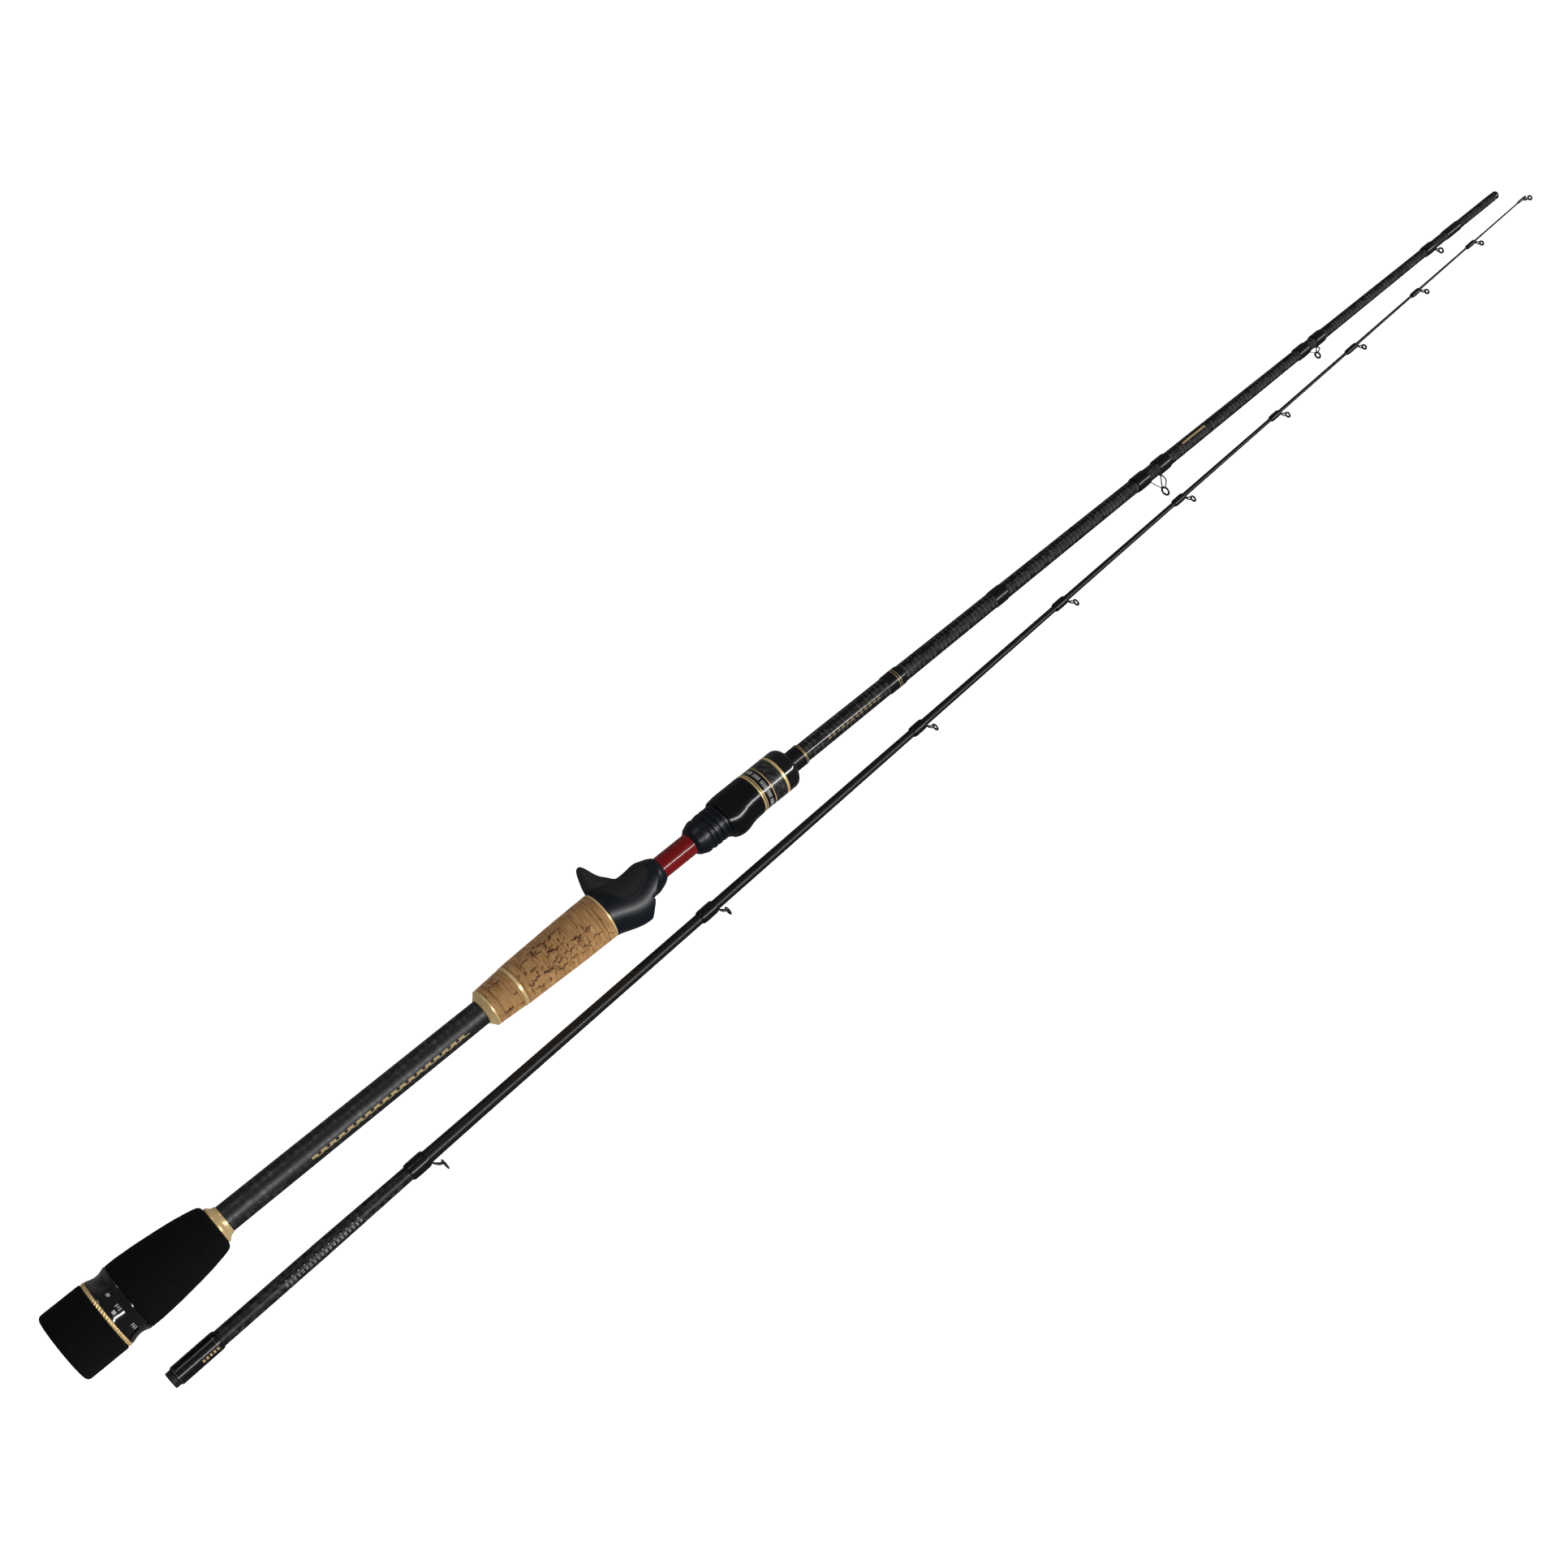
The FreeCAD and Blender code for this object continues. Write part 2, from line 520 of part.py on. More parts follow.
def reel_seat():
    arbor_bore = dims.blank_radius + dims.clearance
    return [
        reel_seat_body(),
        ring("reel_seat_arbor", dims.cork_ring_end, dims.seat_arbor_end, dims.seat_arbor_radius,
             arbor_bore),
        ring("red_blank_sleeve", dims.sleeve_start + dims.clearance, dims.sleeve_end,
             dims.sleeve_radius, arbor_bore),
        threaded_barrel(),
        ring("barrel_arbor", dims.sleeve_end + dims.clearance * 2.0, dims.barrel_end,
             dims.barrel_arbor_radius, arbor_bore),
    ]


# ---------------------------------------------------------------- sliding hood and lock nut

def sliding_hood():
    """Hood that slides on the barrel: raised on the guide side, where it takes the reel's foot."""
    shell = shell_loft("hood_shell", "hood")
    tool_start = dims.hood_start - dims.overrun
    bored = cut("hood_bored", shell, disc("hood_bore_tool", tool_start,
                                          dims.hood_end + dims.overrun, dims.hood_bore))
    pocket = doc.addObject("Part::Common", "hood_pocket")
    pocket.Base = disc("hood_pocket_bar", tool_start, dims.hood_pocket_end,
                       dims.hood_pocket_radius, dims.hood_pocket_radius - dims.hood_pocket_depth)
    pocket.Tool = block("hood_pocket_block",
                        (tool_start - dims.overrun,
                         -dims.hood_pocket_depth - dims.hood_pocket_outside,
                         dims.hood_pocket_width * -0.5),
                        (dims.tool_length, dims.hood_pocket_height, dims.hood_pocket_width))
    liner = ring("hood_liner", dims.hood_start + dims.liner_inset, dims.hood_end,
                 dims.liner_radius, dims.liner_bore)
    return [cut("sliding_hood", bored, pocket), liner]


def lock_nut():
    """Lock nut: a threaded core that carries trim rings, a plain band and a carbon sleeve."""
    core_radius = dims.nut_core_radius
    inner = core_radius + dims.clearance
    (_, first_end), (second_start, second_end), (third_start, third_end), (last_start, _) = \
        rows_of("nut_ring")
    rings = [ring(f"nut_ring_{number}", start, end, dims.nut_radius + dims.nut_ring_proud, inner)
             for number, (start, end) in enumerate(rows_of("nut_ring"), 1)]
    gap = dims.clearance
    spacer = ring("nut_ring_spacer", first_end + gap, second_start - gap,
                  dims.nut_radius - dims.nut_spacer_inset, inner)
    band = ring("nut_band_wall", second_end + gap, third_start - gap,
                dims.nut_radius - dims.nut_band_inset, inner)
    cap_start = dims.nut_cap_start + gap
    cap_outline = [(cap_start, dims.nut_bore), (cap_start, dims.nut_radius),
                   (dims.nut_end, dims.nut_radius), (dims.nut_end, dims.nut_front_bore),
                   (dims.nut_wall_start, dims.nut_front_bore), (dims.nut_wall_start, dims.nut_bore)]
    return [
        ring("lock_nut_core", dims.nut_start, dims.nut_cap_start, core_radius, dims.nut_bore),
        grouped("nut_trim_rings", rings),
        grouped("nut_band", [spacer, band]),
        ring("nut_carbon_sleeve", third_end + gap, last_start - gap, dims.nut_radius, inner),
        turned("nut_end_cap", cap_outline, [(2, dims.nut_cap_round)]),
    ]


# ---------------------------------------------------------------- blank, wraps and ferrule

def butt_blank():
    taper = rows_of("butt_taper")
    blank_end = dims.butt_length - dims.plug_length
    outer = [(dims.blank_start, dims.blank_radius), *taper, (blank_end, taper[-1][1])]
    bore = dims.plug_radius + dims.clearance
    inner = [(blank_end, bore), (taper[-2][0], bore + dims.blank_bore_rise),
             (dims.blank_start, dims.blank_radius - dims.blank_wall)]
    return turned("butt_blank", outer + inner)


def gold_trims(label, stations, radius):
    """Fine gold threads around the outside of a wrap."""
    inner = radius + dims.clearance * 0.5
    bands = [ring(f"{label}_{number}", station, station + dims.trim_band,
                  inner + dims.trim_thickness, inner) for number, station in enumerate(stations, 1)]
    return grouped(label, bands)


def radius_at(table, station):
    """A blank's outer radius at a station, from its taper."""
    station = as_size(station)
    rows = rows_of(table)
    for (start, start_radius), (end, end_radius) in zip(rows, rows[1:]):
        if start.value <= station.value <= end.value:
            share = (station.value - start.value) / (end.value - start.value)
            return start_radius + (end_radius - start_radius) * share
    return rows[0][1] if station.value < rows[0][0].value else rows[-1][1]


def domed_wrap(label, start, end, outer, inner):
    """A thread wrap under lacquer, which slopes down to the blank at both ends."""
    start, end, inner = as_size(start), as_size(end), as_size(inner)
    edge = inner + dims.wrap_edge
    return turned(label, [(start, inner), (start, edge), (start + dims.wrap_ramp, outer),
                          (end - dims.wrap_ramp, outer), (end, edge), (end, inner)])


def blank_wrap(label, start, end, outer):
    """A wrap straight on the butt blank."""
    bore = radius_at("butt_taper", start) + dims.clearance
    return domed_wrap(label, start, end, outer, bore)


def wraps():
    ferrule_radius = rows_of("butt_taper")[-1][1]
    blank_end = dims.butt_length - dims.plug_length
    plug_rear = blank_end - dims.plug_spigot
    plug_shoulder = blank_end + dims.clearance
    return [
        blank_wrap("foregrip_wrap", dims.front_wrap_start, dims.front_wrap_end,
                   dims.front_wrap_radius),
        gold_trims("foregrip_wrap_trims", [dims.front_wrap_end - dims.front_trim_rear,
                                           dims.front_wrap_end - dims.front_trim_front],
                   dims.front_wrap_radius),
        blank_wrap("deco_wrap", dims.deco_wrap_start, dims.deco_wrap_end, dims.deco_wrap_radius),
        gold_trims("deco_wrap_trims", [dims.deco_wrap_start + dims.deco_trim_rear,
                                       dims.deco_wrap_start + dims.deco_trim_front],
                   dims.deco_wrap_radius),
        blank_wrap("plain_wrap", dims.plain_wrap_start, dims.plain_wrap_end,
                   dims.plain_wrap_radius),
        blank_wrap("ferrule_wrap", dims.ferrule_wrap_start, dims.ferrule_wrap_end,
                   dims.ferrule_wrap_radius),
        turned("ferrule_plug", [(plug_rear, 0.0), (plug_rear, dims.plug_radius),
                                (plug_shoulder, dims.plug_radius), (plug_shoulder, ferrule_radius),
                                (dims.butt_length, ferrule_radius), (dims.butt_length, 0.0)],
               [(4, dims.plug_round)]),
    ]


# ---------------------------------------------------------------- line guides

def foot(label, start, end, blank_radius):
    """A guide's foot: a thin curved plate on the blank, on the guide side."""
    outer = disc(f"{label}_outer", start, end, blank_radius + dims.clearance + dims.foot_thickness)
    half_angle = math.radians(SIZES["foot_angle"] / 2.0)
    edge = FreeCAD.Vector(0, -math.cos(half_angle), math.sin(half_angle))
    outer.Placement.Rotation = FreeCAD.Rotation(edge, FreeCAD.Vector(), X_AXIS, "ZXY")
    bind(outer, "Angle", dims.foot_angle)
    inner = disc(f"{label}_inner", as_size(start) - dims.overrun, as_size(end) + dims.overrun,
                 blank_radius + dims.clearance)
    return cut(label, outer, inner)


def hoop(label, station, rise, radius, wire_radius):
    """The round frame that holds a guide's ring, square to the blank."""
    torus = doc.addObject("Part::Torus", label)
    bind(torus, "Radius1", radius)
    bind(torus, "Radius2", wire_radius)
    torus.Placement.Rotation = ALONG_X
    for axis, number in zip("xyz", (station, -rise, 0.0)):
        bind(torus, f"Placement.Base.{axis}", number)
    return torus


def insert_ring(label, station, rise, hoop_radius):
    """The hard ring that the line runs through, inside the hoop."""
    outer_radius = hoop_radius - dims.wire_radius - dims.clearance
    rear = station - dims.insert_width * 0.5
    front = station + dims.insert_width * 0.5
    outer = disc(f"{label}_outer", rear, front, outer_radius, -rise)
    bore = disc(f"{label}_bore", rear - dims.overrun, front + dims.overrun,
                outer_radius - dims.insert_wall, -rise)
    return cut(label, outer, bore)


def legs(label, station, ring_station, foot_radius, rise, hoop_radius):
    """Two wires from a foot's end to the hoop, each 60 degrees round it from its lowest point."""
    wires = []
    for name, side in (("upper", 1.0), ("lower", -1.0)):
        start = (station, -foot_radius, dims.leg_spread * side)
        step = (ring_station - station, foot_radius - rise + hoop_radius * math.cos(LEG_ANGLE),
                hoop_radius * (math.sin(LEG_ANGLE) * side) - dims.leg_spread * side)
        wires.append(rod(f"{label}_{name}", start, step, dims.leg_radius))
    return wires


def wrap_over_foot(label, start, end, blank_radius, lacquer):
    inner = blank_radius + dims.wrap_gap
    return domed_wrap(label, start, end, inner + lacquer, inner)


def single_foot_frame(label, wrap_start, wrap_end, blank_radius, rise, hoop_radius):
    """A one-foot guide: its foot lies under the wrap, and its ring stands just ahead of it."""
    foot_radius = blank_radius + dims.wire_radius + dims.leg_seat
    leg_station = wrap_end + dims.leg_lead
    ring_station = wrap_end + rise - blank_radius
    return fused(label, [foot(f"{label}_foot", wrap_start + dims.foot_cover,
                              wrap_end + dims.foot_reach, blank_radius),
                         hoop(f"{label}_hoop", ring_station, rise, hoop_radius, dims.wire_radius),
                         *legs(f"{label}_leg", leg_station, ring_station, foot_radius, rise,
                               hoop_radius)])


def double_foot_frame(label, rear_wrap, front_wrap, blank_radius, ring_station, rise, hoop_radius):
    """A two-foot guide: a strut from the rear foot and two wires from the front foot."""
    rear_start, rear_end = rear_wrap
    front_start, front_end = front_wrap
    foot_radius = blank_radius + dims.wire_radius + dims.front_leg_seat
    cover = dims.foot_cover
    strut_start = rear_end + dims.strut_lead
    strut_foot = blank_radius + dims.strut_sink
    strut = rod(f"{label}_strut", (strut_start, -strut_foot, 0.0),
                (ring_station - strut_start, strut_foot - rise + hoop_radius, 0.0),
                dims.wire_radius)
    return fused(label, [foot(f"{label}_rear_foot", rear_start + cover, rear_end + cover,
                              blank_radius),
                         foot(f"{label}_front_foot", front_start - cover, front_end - cover,
                              blank_radius),
                         hoop(f"{label}_hoop", ring_station, rise, hoop_radius, dims.wire_radius),
                         strut,
                         *legs(f"{label}_leg", front_start - dims.front_leg_lead, ring_station,
                               foot_radius, rise, hoop_radius)])


def double_foot_guide(name, rear_start, rear_end, front_start, front_end, station, rise,
                      hoop_radius):
    """A two-foot guide with its frame, its ring and its two wraps."""
    radius = radius_at("butt_taper", rear_start)
    rear_wrap, front_wrap = (rear_start, rear_end), (front_start, front_end)
    pair = [wrap_over_foot(f"{name}_wrap_{number}", start, end, radius, dims.butt_lacquer)
            for number, (start, end) in enumerate((rear_wrap, front_wrap), 1)]
    return [double_foot_frame(f"{name}_frame", rear_wrap, front_wrap, radius, station, rise,
                              hoop_radius),
            insert_ring(f"{name}_ring", station, rise, hoop_radius),
            grouped(f"{name}_wraps", pair)]


def butt_guides():
    stripping, second = rows_of("double_guide")
    wrap_start, wrap_end, rise, hoop_radius = rows_of("third_guide")[0]
    radius = radius_at("butt_taper", wrap_start)
    return [
        *double_foot_guide("stripping_guide", *stripping),
        *double_foot_guide("second_guide", *second),
        single_foot_frame("third_guide_frame", wrap_start, wrap_end, radius, rise, hoop_radius),
        insert_ring("third_guide_ring", wrap_end + rise - radius, rise, hoop_radius),
        wrap_over_foot("third_guide_wrap", wrap_start, wrap_end, radius, dims.butt_lacquer),
    ]


# ---------------------------------------------------------------- tip section

def tip_blank():
    taper = rows_of("tip_taper")
    outer = [(0.0, taper[0][1]), *taper[1:]]
    inner = [(dims.tip_length, dims.tip_bore), (taper[4][0], taper[4][1] - dims.tip_wall),
             (dims.socket_depth + dims.socket_shoulder, dims.socket_radius - dims.socket_step),
             (dims.socket_depth, dims.socket_radius), (0.0, dims.socket_radius)]
    return turned("tip_blank", outer + inner)


def tip_section():
    pieces = [tip_blank()]
    socket_bore = dims.tip_taper_1_2 + dims.clearance
    pieces.append(domed_wrap("tip_ferrule_wrap", dims.lip_length, dims.socket_wrap_end,
                             dims.socket_wrap_radius, socket_bore))
    pieces.append(gold_trims("tip_ferrule_rings", [start for start, _ in rows_of("rim")],
                             dims.socket_wrap_radius))
    rings = []
    wraps_made = []
    for number, (start, end, rise, hoop_radius) in enumerate(rows_of("guide"), 1):
        radius = radius_at("tip_taper", start)
        pieces.append(single_foot_frame(f"tip_guide_{number}_frame", start, end, radius, rise,
                                        hoop_radius))
        station = end + rise - radius
        rings.append(insert_ring(f"tip_guide_{number}_ring", station, rise, hoop_radius))
        wraps_made.append(wrap_over_foot(f"tip_guide_{number}_wrap", start, end, radius,
                                         dims.tip_lacquer))
    pieces.append(grouped("tip_guide_rings", rings))
    pieces.append(grouped("tip_guide_wraps", wraps_made))
    return pieces + tip_top()


def tip_top():
    """The end guide: a small tube over the blank's end, with a ring held by two wires."""
    bore = radius_at("tip_taper", dims.tip_tube_start) + dims.clearance
    tube_end = dims.tip_length - dims.tip_tube_inset
    tube = ring("tip_top_tube", dims.tip_tube_start, tube_end, bore + dims.tip_tube_wall, bore)
    station, rise = dims.tip_ring_station, dims.tip_ring_rise
    hoop_radius = dims.tip_hoop_radius
    frame = fused("tip_top_frame", [tube,
                                    hoop("tip_top_hoop", station, rise, hoop_radius,
                                         dims.wire_radius),
                                    *legs("tip_top_leg", tube_end - dims.tip_leg_lead, station,
                                          bore + dims.leg_spread, rise, hoop_radius)])
    return [frame, insert_ring("tip_top_ring", station, rise, hoop_radius)]


# ---------------------------------------------------------------- laying the sections down

def butt_section_placement():
    """Rests the butt section on its cap's front edge and on the end of its ferrule."""
    cap_station = SIZES["cap_end"] - SIZES["cap_front_round"]
    plug_station = SIZES["butt_length"] - SIZES["plug_round"]
    drop = (SIZES["cap_radius"] - BUTT_TAPER[-1][1]) / (plug_station - cap_station)
    tilt = math.atan(drop)
    height = cap_station * math.sin(tilt) + SIZES["cap_radius"] * math.cos(tilt)
    return FreeCAD.Placement(FreeCAD.Vector(0, 0, height),
                             FreeCAD.Rotation(FreeCAD.Vector(0, 1, 0), math.degrees(tilt)))


def tip_section_placement():
    """Rests the tip section on its socket wrap and on the tip-top's ring."""
    wrap_station = SIZES["socket_wrap_end"] - SIZES["wrap_rest_inset"]
    wrap_radius = SIZES["socket_wrap_radius"] + SIZES["trim_thickness"] + SIZES["clearance"]
    ring_radius = SIZES["tip_hoop_radius"] + SIZES["wire_radius"]
    drop = (wrap_radius - ring_radius) / (SIZES["tip_ring_station"] - wrap_station)
    tilt = math.atan(drop)
    height = wrap_station * math.sin(tilt) + wrap_radius * math.cos(tilt)
    base = FreeCAD.Vector(SIZES["tip_start_x"], SIZES["tip_start_y"], height)
    turn = FreeCAD.Rotation(Z_AXIS, SIZES["tip_yaw"])
    return FreeCAD.Placement(base, turn * FreeCAD.Rotation(FreeCAD.Vector(0, 1, 0),
                                                           math.degrees(tilt)))


def overall_box(pieces):
    box = FreeCAD.BoundBox()
    for piece in pieces:
        box.add(piece.Shape.optimalBoundingBox())
    return box


def check(pieces):
    """Stops before writing if anything in the document failed or a piece isn't a valid solid."""
    for item in doc.Objects:
        if "Invalid" in item.State or "Error" in item.State:
            raise RuntimeError(f"{item.Label} failed: {item.State}")
    for piece in pieces:
        shape = piece.Shape
        if shape.isNull() or not shape.isValid() or not shape.Solids:
            raise RuntimeError(f"{piece.Label} has no valid solid")
        if min(solid.Volume for solid in shape.Solids) <= 0:
            raise RuntimeError(f"{piece.Label} has a solid with no volume")


butt_pieces = (butt_end() + handle_tube() + cork_handle() + reel_seat() + sliding_hood()
               + lock_nut() + [butt_blank()] + wraps() + butt_guides())
tip_pieces = tip_section()
all_pieces = butt_pieces + tip_pieces
doc.recompute()
check(all_pieces)

butt_place = butt_section_placement()
tip_place = tip_section_placement()
for piece in butt_pieces:
    piece.Placement = butt_place
for piece in tip_pieces:
    piece.Placement = tip_place
doc.recompute()

# The origin is the middle of the footprint, on the surface that the sections lie on.
footprint = overall_box(all_pieces)
to_origin = FreeCAD.Vector(-footprint.Center.x, -footprint.Center.y, -footprint.ZMin)
for piece in all_pieces:
    piece.Placement = FreeCAD.Placement(to_origin, FreeCAD.Rotation()) * piece.Placement
doc.recompute()
check(all_pieces)

os.makedirs("parts", exist_ok=True)
for piece in all_pieces:
    piece.Shape.exportStep(f"parts/{piece.Label}.step")
print(len(all_pieces), "pieces, box", overall_box(all_pieces))
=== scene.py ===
"""A two-piece baitcasting fishing rod, taken apart and lying on a pale floor.

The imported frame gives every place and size. Each visible piece is built here in millimetres along
its own rod section, over the CAD node that it stands for, and then laid down with that section.
"""

import json
import math

import bmesh
import bpy
import numpy as np
from mathutils import Matrix, Vector, noise
from mathutils.bvhtree import BVHTree


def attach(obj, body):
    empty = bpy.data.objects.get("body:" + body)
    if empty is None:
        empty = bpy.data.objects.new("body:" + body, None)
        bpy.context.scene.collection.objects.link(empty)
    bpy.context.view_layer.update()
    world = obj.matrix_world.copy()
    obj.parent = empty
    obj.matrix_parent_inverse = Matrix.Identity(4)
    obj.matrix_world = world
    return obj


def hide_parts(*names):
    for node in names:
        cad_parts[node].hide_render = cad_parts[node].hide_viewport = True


MM = 0.001
TAU = 2 * math.pi
GUIDE_SIDE = math.pi  # the angle round a section where its line guides stand
TRIGGER_SIDE = 0.0
THREAD_PITCH = 3.5
WIRE = 0.36  # the radius of the wire that the guides are bent from
RING_WALL = 0.75

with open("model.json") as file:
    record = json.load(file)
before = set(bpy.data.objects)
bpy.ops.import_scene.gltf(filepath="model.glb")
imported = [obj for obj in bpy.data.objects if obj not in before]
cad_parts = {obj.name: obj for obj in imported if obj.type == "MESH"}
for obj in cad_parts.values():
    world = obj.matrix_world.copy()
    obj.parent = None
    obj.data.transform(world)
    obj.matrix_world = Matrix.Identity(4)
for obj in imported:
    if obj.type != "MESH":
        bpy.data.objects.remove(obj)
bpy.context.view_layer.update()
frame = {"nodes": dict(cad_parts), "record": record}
MOUNTS = {m["name"]: m for m in frame["record"]["mounts"]}
SLOTS = {p["node"]: p["material_slot"] for p in frame["record"]["subparts"]}
BODIES = {n: body for body, names in frame["record"]["behaviour"]["bodies"].items() for n in names}


# ---------------------------------------------------------------- the two sections' own frames
class Section:
    """A rod section: millimetres along its axis from its butt end, to its side, and up."""

    def __init__(self, mount, station, direction):
        axis = np.array(MOUNTS[mount]["axis"]) * direction
        self.axis = axis / np.linalg.norm(axis)
        self.origin = np.array(MOUNTS[mount]["pos_m"]) - self.axis * station * MM
        side = np.cross((0.0, 0.0, 1.0), self.axis)
        self.side = side / np.linalg.norm(side)
        self.turn = np.array([self.axis, self.side, np.cross(self.axis, self.side)])

    def world(self, points):
        return self.origin + np.asarray(points, float) * MM @ self.turn

    def local(self, points):
        return (np.asarray(points, float) - self.origin) @ self.turn.T / MM


BUTT = Section("male_ferrule", 1075.4, 1)
TIP = Section("female_ferrule", 23.0, -1)


class Part:
    """A CAD node, or one of its solids, in its section's millimetres."""

    def __init__(self, name, points=None, faces=None):
        self.name = name
        self.body = BODIES[name]
        self.section = TIP if self.body == "tip_section" else BUTT
        if points is None:
            mesh = frame["nodes"][name].data
            points = self.section.local([v.co for v in mesh.vertices])
            faces = [tuple(p.vertices) for p in mesh.polygons]
        self.points, self.faces = points, faces
        self.start, self.end = points[:, 0].min(), points[:, 0].max()
        self.radii = np.hypot(points[:, 1], points[:, 2])
        self.centre = (points.min(0) + points.max(0)) / 2
        self.tree = BVHTree.FromPolygons([Vector(p) for p in points], faces)

    def reach(self, station, angle):
        """How far out the node's skin is from the section's axis."""
        out = Vector((0.0, math.cos(angle), math.sin(angle)))
        hit = self.tree.ray_cast(Vector((station, 0, 0)) + out * 80.0, -out)[0]
        return math.hypot(hit.y, hit.z) if hit else 0.0

    def profile(self):
        """(station, radius) along the outside of a turned node, from its start to its end."""
        angles = np.unique(np.round(np.arctan2(self.points[:, 2], self.points[:, 1]), 2))[::3]
        rows = []
        for station in np.unique(np.round(self.points[:, 0], 2)):
            inside = min(max(station, self.start + 0.002), self.end - 0.002)
            rows.append((station, max(self.reach(inside, a) for a in angles)))
        return np.array(rows)

    def solids(self):
        """The node's separate solids, from the butt end on."""
        keys = [tuple(np.round(p, 3)) for p in self.points]
        owner = {}

        def find(key):
            while owner.setdefault(key, key) != key:
                key = owner[key]
            return key

        for face in self.faces:
            first = find(keys[face[0]])
            for corner in face[1:]:
                owner[find(keys[corner])] = first
        groups = {}
        for face in self.faces:
            groups.setdefault(find(keys[face[0]]), []).append(face)
        found = []
        for faces in groups.values():
            used = sorted({corner for face in faces for corner in face})
            place = {corner: index for index, corner in enumerate(used)}
            found.append(Part(self.name, self.points[used],
                              [tuple(place[corner] for corner in face) for face in faces]))
        return sorted(found, key=lambda part: part.start)


# ---------------------------------------------------------------- materials
class Paint:
    """A Principled material, built a node at a time."""

    def __init__(self, name, colour, roughness, **more):
        self.material = bpy.data.materials.new(name)
        self.material.use_nodes = True
        self.material.diffuse_color = (*colour, 1)
        self.tree = self.material.node_tree
        self.shader = self.tree.nodes["Principled BSDF"]
        self.set("Base Color", (*colour, 1))
        self.set("Roughness", roughness)
        for socket, value in more.items():
            self.set(socket.replace("_", " "), value)

    def set(self, socket, value):
        self.join(self.shader.inputs[socket], value)

    def join(self, socket, value):
        if isinstance(value, bpy.types.NodeSocket):
            self.tree.links.new(value, socket)
        else:
            socket.default_value = value

    def add(self, kind, inputs=(), **settings):
        made = self.tree.nodes.new(kind)
        for key, value in settings.items():
            setattr(made, key, value)
        for key, value in dict(inputs).items():
            self.join(made.inputs[key], value)
        return made

    def math(self, operation, first, second=0.0, clamp=False):
        made = self.add("ShaderNodeMath", {0: first, 1: second}, operation=operation,
                        use_clamp=clamp)
        return made.outputs[0]

    def mix(self, factor, first, second):
        made = self.add("ShaderNodeMix", {0: factor, 6: first, 7: second}, data_type="RGBA")
        return made.outputs[2]

    def place(self):
        """Object coordinates, in metres."""
        return self.add("ShaderNodeTexCoord").outputs["Object"]

    def lengthwise(self):
        """(millimetres along the section, turns round it), from the piece's own map."""
        split = self.add("ShaderNodeSeparateXYZ", {0: self.add("ShaderNodeUVMap").outputs[0]})
        return split.outputs[0], split.outputs[1]

    def grain(self, scale, detail=3.0, vector=None, roughness=0.5):
        made = self.add("ShaderNodeTexNoise", {"Vector": vector or self.place(), "Scale": scale,
                                               "Detail": detail, "Roughness": roughness})
        return made.outputs["Fac"]

    def drawn_grain(self, along, around, scale, detail=2.0):
        """Noise on the piece's own map, so that it can be stretched along or round the section."""
        station, turn = self.lengthwise()
        point = self.add("ShaderNodeCombineXYZ", {0: self.math("MULTIPLY", station, along),
                                                  1: self.math("MULTIPLY", turn, around)})
        return self.grain(scale, detail, point.outputs[0])

    def ramp(self, value, low, high, bottom=0.0, top=1.0):
        made = self.add("ShaderNodeMapRange", {0: value, 1: low, 2: high, 3: bottom, 4: top})
        return made.outputs[0]

    def relief(self, height, strength, depth_mm):
        made = self.add("ShaderNodeBump", {"Height": height, "Strength": strength,
                                           "Distance": depth_mm * MM})
        self.set("Normal", made.outputs[0])

    def braid(self, pitch, strands):
        """1 on one set of crossing strands and 0 on the other, softly."""
        station, turn = self.lengthwise()
        across = self.math("MULTIPLY", turn, strands)
        along = self.math("DIVIDE", station, pitch)
        one = self.math("SINE", self.math("MULTIPLY", self.math("ADD", along, across), math.pi))
        two = self.math("SINE", self.math("MULTIPLY", self.math("SUBTRACT", along, across),
                                          math.pi))
        return self.ramp(self.math("MULTIPLY", one, two), -0.35, 0.35)


def foam_paint():
    paint = Paint("eva_foam", (0.003, 0.003, 0.0032), 0.95, Specular_IOR_Level=0.12)
    cells = paint.add("ShaderNodeTexVoronoi", {"Vector": paint.place(), "Scale": 2600.0})
    paint.set("Base Color", paint.mix(paint.grain(420.0), (0.0018, 0.0018, 0.002, 1),
                                      (0.0048, 0.0048, 0.0052, 1)))
    paint.relief(cells.outputs["Distance"], 0.35, 0.1)
    return paint.material


def gold_paint(name="gold_metal", colour=(0.93, 0.68, 0.33), roughness=0.33, metallic=0.5):
    paint = Paint(name, colour, roughness, Metallic=metallic)
    paint.set("Roughness", paint.ramp(paint.drawn_grain(6.0, 3.0, 2.0), 0.3, 0.7,
                                      roughness - 0.1, roughness + 0.1))
    return paint.material


def collar_paint():
    paint = Paint("lacquered_collar", (0.004, 0.003, 0.003), 0.12, Coat_Weight=1.0,
                  Coat_Roughness=0.03)
    station, turn = paint.lengthwise()
    # Grey smoky mottle in the lacquer, painted only on the side facing the section's side direction and
    # fading out before the top: a painted reflection of light from that side, laid over the mottle.
    smoke_and_painted_reflection = paint.math("MULTIPLY", paint.ramp(paint.grain(190.0, 4.0), 0.42, 0.62),
                       paint.ramp(turn, 0.25, 0.12))
    paint.set("Base Color", paint.mix(smoke_and_painted_reflection, (0.0022, 0.0018, 0.0018, 1),
                                      (0.055, 0.048, 0.040, 1)))
    return paint.material


